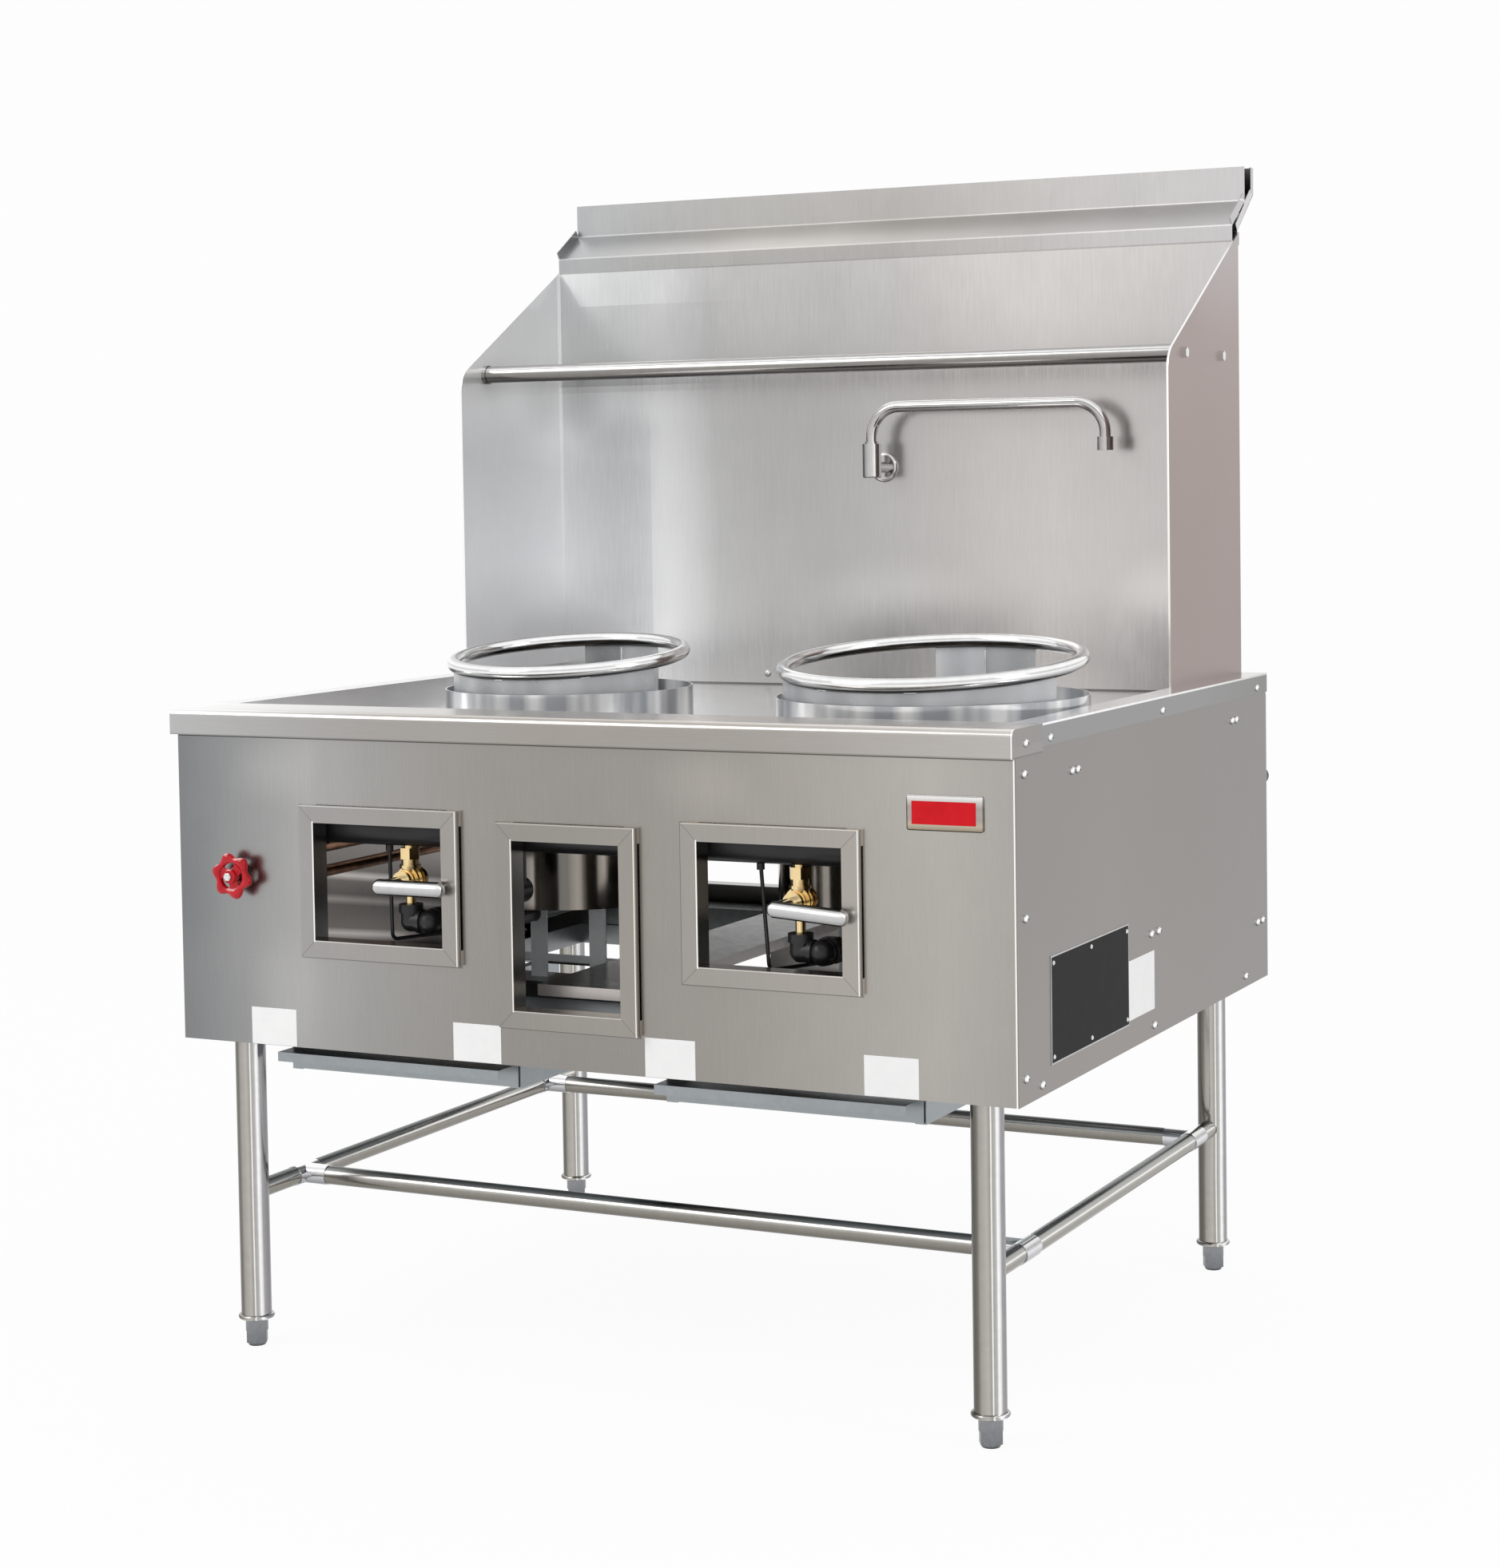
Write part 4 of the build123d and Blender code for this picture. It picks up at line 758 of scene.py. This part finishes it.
shape = bmesh.new()
swept_ring(shape, 144, rim_section)
swept_ring(shape, 48, hub_section)
for i in range(3):
    points = spoke_corners(math.radians(45 + 120 * i))
    verts = [shape.verts.new([c * MM for c in point]) for point in points]
    for quad in ((0, 1, 2, 3), (7, 6, 5, 4), (0, 4, 5, 1), (1, 5, 6, 2), (2, 6, 7, 3), (3, 7, 4, 0)):
        shape.faces.new([verts[k] for k in quad])
bmesh.ops.recalc_face_normals(shape, faces=shape.faces[:])
casting = set_down(shape, "cast_handwheel")
fused = casting.modifiers.new("fused", "REMESH")
fused.mode = "VOXEL"
fused.voxel_size = 0.7 * MM
softened = casting.modifiers.new("softened", "SMOOTH")
softened.factor = 0.5
softened.iterations = 6
evaluated = casting.evaluated_get(bpy.context.evaluated_depsgraph_get())
mesh = bpy.data.meshes.new_from_object(evaluated)
casting.modifiers.clear()
casting.data = mesh
mesh.polygons.foreach_set("use_smooth", [True] * len(mesh.polygons))

material, tree, place, facing = start_finish("red_enamel")
ripple = noise(tree, place, 160.0, 3.0) - 0.5
shade = ramp(tree, noise(tree, place, 70.0), [(0.3, (0.44, 0.003, 0.010)), (0.7, (0.60, 0.008, 0.020))])
# painted highlights: pale glints on faces that look up and to the front
skyward = toward(tree, facing, (-0.10, -0.55, 0.83))
painted_glint = ramp(tree, skyward + ripple * 0.25, [(0.90, 0.0), (0.97, 0.75)])
blend = {0: painted_glint, 6: shade, 7: (1.0, 0.62, 0.62, 1.0)}
red_with_painted_glints = add_node(tree, "ShaderNodeMix", {"data_type": "RGBA"}, blend, 2)
end_finish(tree, {"Base Color": red_with_painted_glints, "Roughness": 0.20 + ripple * 0.1, "Specular IOR Level": 0.2,
                  "Coat Weight": 0.3, "Coat Roughness": 0.05, "Normal": bumped(tree, ripple, 0.35, 0.6)})
mesh.materials.append(material)
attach(casting, "handwheel")
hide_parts("handwheel")


# ---------------------------------------------------------------- nameplate, labels and rating plate
# A pressed chrome frame with a bare red field, four bare white labels along the front's lower edge,
# and on the right side a black plate with a pale border, held by six rivets, beside a bare white sticker.
def slab(name, low, high, bevel, material):
    """A flat piece from its lowest and highest corner in mm, with its edges rounded."""
    shape = bmesh.new()
    bmesh.ops.create_cube(shape, size=1.0)
    for vertex in shape.verts:
        vertex.co = Vector([(a if c < 0 else b) * MM for a, b, c in zip(low, high, vertex.co)])
    if bevel:
        bmesh.ops.bevel(shape, geom=shape.edges[:], offset=bevel * MM, segments=3, profile=0.6,
                        affect="EDGES")
    piece = set_down(shape, name)
    piece.data.materials.append(material)
    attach(piece, "range")


def painted(name, dark, light, roughness, shine=0.5):
    """Paint, print or paper: a tone with a faint unevenness."""
    material, tree, place, facing = start_finish(name)
    blotch = noise(tree, place, 45.0, 4.0)
    base = ramp(tree, blotch, [(0.3, dark), (0.7, light)])
    end_finish(tree, {"Base Color": base, "Roughness": roughness + (blotch - 0.5) * 0.1,
                      "Specular IOR Level": shine})
    return material


# painted reflections up the nameplate frame, with a painted highlight along its top
frame_reflection_tones = [(0.30, 0.25, 0.18), (0.52, 0.46, 0.36), (0.40, 0.365, 0.335), (0.42, 0.385, 0.355),
               (0.40, 0.365, 0.335), (0.62, 0.59, 0.57), (1.0, 1.0, 1.0)]
low, high = 756, 799
frame_chrome = brushed("frame_chrome", frame_reflection_tones, 2, (low, high), roughness=0.16, reflection_cloud=0.05)
plate_red = painted("plate_red", (0.62, 0.008, 0.014), (0.72, 0.012, 0.02), 0.45, 0.12)
slab("nameplate_frame", (468.5, PANEL_Y - 4.0, low), (567, PANEL_Y, high), 3.2, frame_chrome)
slab("nameplate_field", (475.5, PANEL_Y - 4.3, 763.5), (558.5, PANEL_Y - 3.6, 791.5), 0.2, plate_red)
paper = painted("paper", (0.93, 0.93, 0.93), (0.97, 0.97, 0.965), 0.6, 0.3)
label_spans = [(-496, -424), (-178, -106), (105, 176), (407, 479)]
for i, (left, right) in enumerate(label_spans):
    slab("front_label_%d" % (i + 1), (left, PANEL_Y - 0.25, 430.5), (right, PANEL_Y, 480), 0, paper)
side_x = 608.0               # the side panel's outer face
plate_black = painted("plate_black", (0.014, 0.014, 0.015), (0.022, 0.022, 0.023), 0.55, 0.08)
plate_border = painted("plate_border", (0.50, 0.50, 0.50), (0.60, 0.60, 0.60), 0.4)
slab("rating_plate", (side_x, PANEL_Y + 106, 462), (side_x + 0.8, PANEL_Y + 386, 595), 0.2, plate_border)
slab("rating_field", (side_x + 0.7, PANEL_Y + 108, 464), (side_x + 0.95, PANEL_Y + 384, 593), 0,
     plate_black)
slab("side_sticker", (side_x, PANEL_Y + 387.5, 467), (side_x + 0.2, PANEL_Y + 488, 545), 0, paper)


# ---------------------------------------------------------------- screws, rivets and welds
# Dome screws with a cross recess down both sides, six rivets round the rating plate, two tacks that
# hold each wok ring on its sleeve, and the seam weld up the back of each sleeve.
def heads(name, spots, radius, height, recess, material, replaced=None):
    """Domed heads on spots, each with the way it faces. Geometry Nodes set and turn them."""
    mesh = bpy.data.meshes.new(name)
    mesh.from_pydata([[c * MM for c in spot] for spot, way in spots], [], [])
    ways = mesh.attributes.new("way", "FLOAT_VECTOR", "POINT")
    for entry, (spot, way) in zip(ways.data, spots):
        entry.vector = way
    piece = bpy.data.objects.new(name, mesh)
    bpy.context.scene.collection.objects.link(piece)
    tree = bpy.data.node_groups.new(name, "GeometryNodeTree")
    tree.interface.new_socket("Geometry", in_out="INPUT", socket_type="NodeSocketGeometry")
    sizes = {"Head radius": radius, "Head height": height, "Recess length": recess}
    sockets = [tree.interface.new_socket(label, in_out="INPUT", socket_type="NodeSocketFloat")
               for label in sizes]
    tree.interface.new_socket("Geometry", in_out="OUTPUT", socket_type="NodeSocketGeometry")
    spots_in, wide, tall, cut = add_node(tree, "NodeGroupInput").outputs(4)
    ball = add_node(tree, "GeometryNodeMeshUVSphere", None, {"Segments": 20, "Rings": 10, "Radius": 1.0})
    stretch = add_node(tree, "ShaderNodeCombineXYZ", None, {0: wide, 1: wide, 2: tall})
    head = add_node(tree, "GeometryNodeTransform", None, {"Geometry": ball, "Scale": stretch})
    if recess:
        for across, along in ((0.22, 1.0), (1.0, 0.22)):
            slit = {0: cut * across, 1: cut * along, 2: tall * 0.9}
            size = add_node(tree, "ShaderNodeCombineXYZ", None, slit)
            lift = add_node(tree, "ShaderNodeCombineXYZ", None, {2: tall})
            bar = add_node(tree, "GeometryNodeMeshCube", None, {"Size": size})
            bar = add_node(tree, "GeometryNodeTransform", None, {"Geometry": bar, "Translation": lift})
            head = add_node(tree, "GeometryNodeMeshBoolean", {"operation": "DIFFERENCE"}, {0: head, 1: bar})
    way = add_node(tree, "GeometryNodeInputNamedAttribute", {"data_type": "FLOAT_VECTOR"}, {"Name": "way"})
    draw = {2: 0.0, 3: math.pi, "Seed": 5}
    angle = add_node(tree, "FunctionNodeRandomValue", {"data_type": "FLOAT"}, draw, 1)
    twist = add_node(tree, "FunctionNodeAxisAngleToRotation", None, {"Axis": (0, 0, 1), "Angle": angle})
    turn = add_node(tree, "FunctionNodeAlignRotationToVector", {"axis": "Z"},
                    {"Rotation": twist, "Vector": way})
    placed = add_node(tree, "GeometryNodeInstanceOnPoints", None,
                      {"Points": spots_in, "Instance": head, "Rotation": turn})
    real = add_node(tree, "GeometryNodeRealizeInstances", None, {"Geometry": placed})
    done = add_node(tree, "GeometryNodeSetMaterial", None, {"Geometry": real, "Material": material})
    add_node(tree, "NodeGroupOutput", None, {0: done})
    modifier = piece.modifiers.new("heads", "NODES")
    modifier.node_group = tree
    for socket, size in zip(sockets, sizes.values()):
        modifier[socket.identifier] = size * MM
    evaluated = piece.evaluated_get(bpy.context.evaluated_depsgraph_get())
    plain = bpy.data.meshes.new_from_object(evaluated)
    piece.modifiers.clear()
    piece.data = plain
    plain.polygons.foreach_set("use_smooth", [True] * len(plain.polygons))
    plain.set_sharp_from_angle(angle=math.radians(38))
    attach(piece, "range")
    if replaced:
        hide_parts(replaced)


strip_screws = (30.0, 111.0, 527.0, 951.0)
panel_screws = ((26, 824), (26, 652), (23, 461), (75, 444), (486, 445), (890, 446), (187, 813), (206, 813),
                (834, 822), (853, 822), (477, 568), (506, 568), (950, 516), (974, 516))
strip_x, strip_z = 608.6, 860.5      # a row of screws in each of the deck's skirts
splash_screw = (199.5, PANEL_Y + 971.4, 868)
screws = []
for side in (-1, 1):
    for depth in strip_screws:
        screws.append(((side * strip_x, PANEL_Y + depth, strip_z), (side, 0, 0)))
    for depth, height in panel_screws:
        screws.append(((side * side_x, PANEL_Y + depth, height), (side, 0, 0)))
    screws.append(((side * splash_screw[0], splash_screw[1], splash_screw[2]), (0, -1, 0)))
# painted reflections: light and dark bands on the screw heads by the way they face
screw_reflection_bands = [(-0.95, (0.08, 0.08, 0.08)), (-0.3, (0.15, 0.155, 0.16)), (0.1, (0.34, 0.345, 0.35)),
               (0.35, (0.60, 0.60, 0.60)), (0.52, (1.0, 1.0, 1.0)), (0.88, (1.0, 1.0, 1.0)),
               (0.98, (0.60, 0.60, 0.60))]
screw_chrome = reflection_banded("screw_chrome", (0.35, -0.55, 0.76), screw_reflection_bands, 0.12, 0.12)
heads("screw_heads", screws, 5.5, 4.4, 5.6, screw_chrome, "dome_screws")
rivets = [((side_x + 0.8, PANEL_Y + depth, height), (1, 0, 0))
          for depth in (114, 246, 378) for height in (471, 586)]
rivet_steel = painted("rivet_steel", (0.80, 0.80, 0.80), (0.95, 0.95, 0.95), 0.3)
heads("plate_rivets", rivets, 3.0, 2.0, 0, rivet_steel)
ring_tilt = math.radians(5.1)
tack_angles = {"left": (-6, 38), "right": (-22, 15)}     # degrees, from straight ahead to the right
tack_height = 924.6
bead_turn = 0.011                    # between two beads of a tack, in radians
seam_low, seam_pitch = 866, 2.1
tacks, seams = [], []
for name, (x, y, radius) in burners.items():
    for angle in tack_angles[name]:
        for step in range(-3, 4):
            turn = math.radians(angle) + step * bead_turn
            across, depth = math.sin(turn), -math.cos(turn)
            spot = (x + across * (radius + 0.8), PANEL_Y + y + depth * (radius + 0.8),
                    tack_height + depth * radius * math.tan(ring_tilt))
            tacks.append((spot, (across, depth, 0.6)))
    for i in range(34):
        seams.append(((x - 5.0, PANEL_Y + y + radius - 0.8, seam_low + i * seam_pitch), (0, -1, 0)))
weld_steel = turned("weld_steel", (0.62, 0.62, 0.62), (0.80, 0.80, 0.79), 0.18)
heads("ring_tacks", tacks, 1.9, 1.3, 0, weld_steel)
heads("sleeve_seams", seams, 1.7, 0.9, 0, weld_steel)

# ---------------------------------------------------------------- studio
# A pale floor and a plain white surround, a broad soft lamp above the left front and a weaker one
# at the right.
material, tree, place, facing = start_finish("pale_floor")


def seen_rays(tree):
    """1 for what the camera sees, straight or in a mirror or glass, and 0 for light on a dull surface."""
    rays = add_node(tree, "ShaderNodeLightPath").outputs(10)
    return rays[0].math("MAXIMUM", rays[3]).math("MAXIMUM", rays[6])


seen = seen_rays(tree)
paint = add_node(tree, "ShaderNodeBsdfDiffuse", None, {"Color": (0.92, 0.92, 0.92, 1), "Roughness": 0.0})
glow = add_node(tree, "ShaderNodeEmission", None, {"Color": (1, 1, 1, 1), "Strength": 1.0})
mixed = add_node(tree, "ShaderNodeMixShader", None, {0: seen * 0.94, 1: paint, 2: glow})
add_node(tree, "ShaderNodeOutputMaterial", None, {"Surface": mixed})
bpy.ops.mesh.primitive_plane_add(size=60)
floor = bpy.context.object
floor.name = "floor"
floor.data.materials.append(material)

world = bpy.data.worlds.new("surround")
bpy.context.scene.world = world
world.use_nodes = True
tree = world.node_tree
tree.nodes.clear()
light_level = 0.76                   # of the surround as a lamp; where it is seen, it is 1
strength = light_level + seen_rays(tree) * (1 - light_level)
backdrop = add_node(tree, "ShaderNodeBackground", None,
                    {"Color": (0.985, 0.985, 0.985, 1), "Strength": strength})
add_node(tree, "ShaderNodeOutputWorld", None, {"Surface": backdrop})


def soft_lamp(name, place, aim, size, power):
    lamp = bpy.data.lights.new(name, "AREA")
    lamp.shape = "RECTANGLE"
    lamp.size, lamp.size_y = size
    lamp.energy = power
    holder = bpy.data.objects.new(name, lamp)
    bpy.context.scene.collection.objects.link(holder)
    holder.location = place
    holder.rotation_euler = (Vector(aim) - Vector(place)).to_track_quat("-Z", "Y").to_euler()


soft_lamp("key_lamp", (-2.8, -3.6, 3.9), (0, 0, 0.8), (2.4, 2.4), 70)
soft_lamp("side_lamp", (4.2, -0.6, 2.6), (0, 0, 0.8), (1.2, 2.6), 24)

# ---------------------------------------------------------------- camera
# A short telephoto lens at chest height, to the right of the front and turned 26 degrees to it.
sensor = 36.0
picture_width, picture_height = 1876, 1963
focal_pixels = 3698.7
axis_column, axis_row = 1006.16, 771.9       # where the lens's axis meets the picture, in pixels
eye = (1.89025, -3.21920 + PANEL_Y * MM, 1.18058)
yaw, pitch, roll = math.radians(25.787), math.radians(-2.7306), math.radians(-0.8332)
forward = Vector((-math.sin(yaw), math.cos(yaw), 0))
right = Vector((math.cos(yaw), math.sin(yaw), 0))
up = Vector((0, 0, 1))
ahead = forward * math.cos(pitch) + up * math.sin(pitch)
level_up = up * math.cos(pitch) - forward * math.sin(pitch)
across = right * math.cos(roll) + level_up * math.sin(roll)
upright = level_up * math.cos(roll) - right * math.sin(roll)
lens = bpy.data.cameras.new("camera")
lens.sensor_width = sensor
lens.lens = focal_pixels / picture_height * sensor
lens.shift_x = (picture_width / 2 - axis_column) / picture_height
lens.shift_y = (axis_row - picture_height / 2) / picture_height
camera = bpy.data.objects.new("camera", lens)
camera.matrix_world = Matrix((
    (across.x, upright.x, -ahead.x, eye[0]),
    (across.y, upright.y, -ahead.y, eye[1]),
    (across.z, upright.z, -ahead.z, eye[2]),
    (0, 0, 0, 1)))
bpy.context.scene.collection.objects.link(camera)
bpy.context.scene.camera = camera
bpy.context.scene.view_settings.view_transform = "Standard"
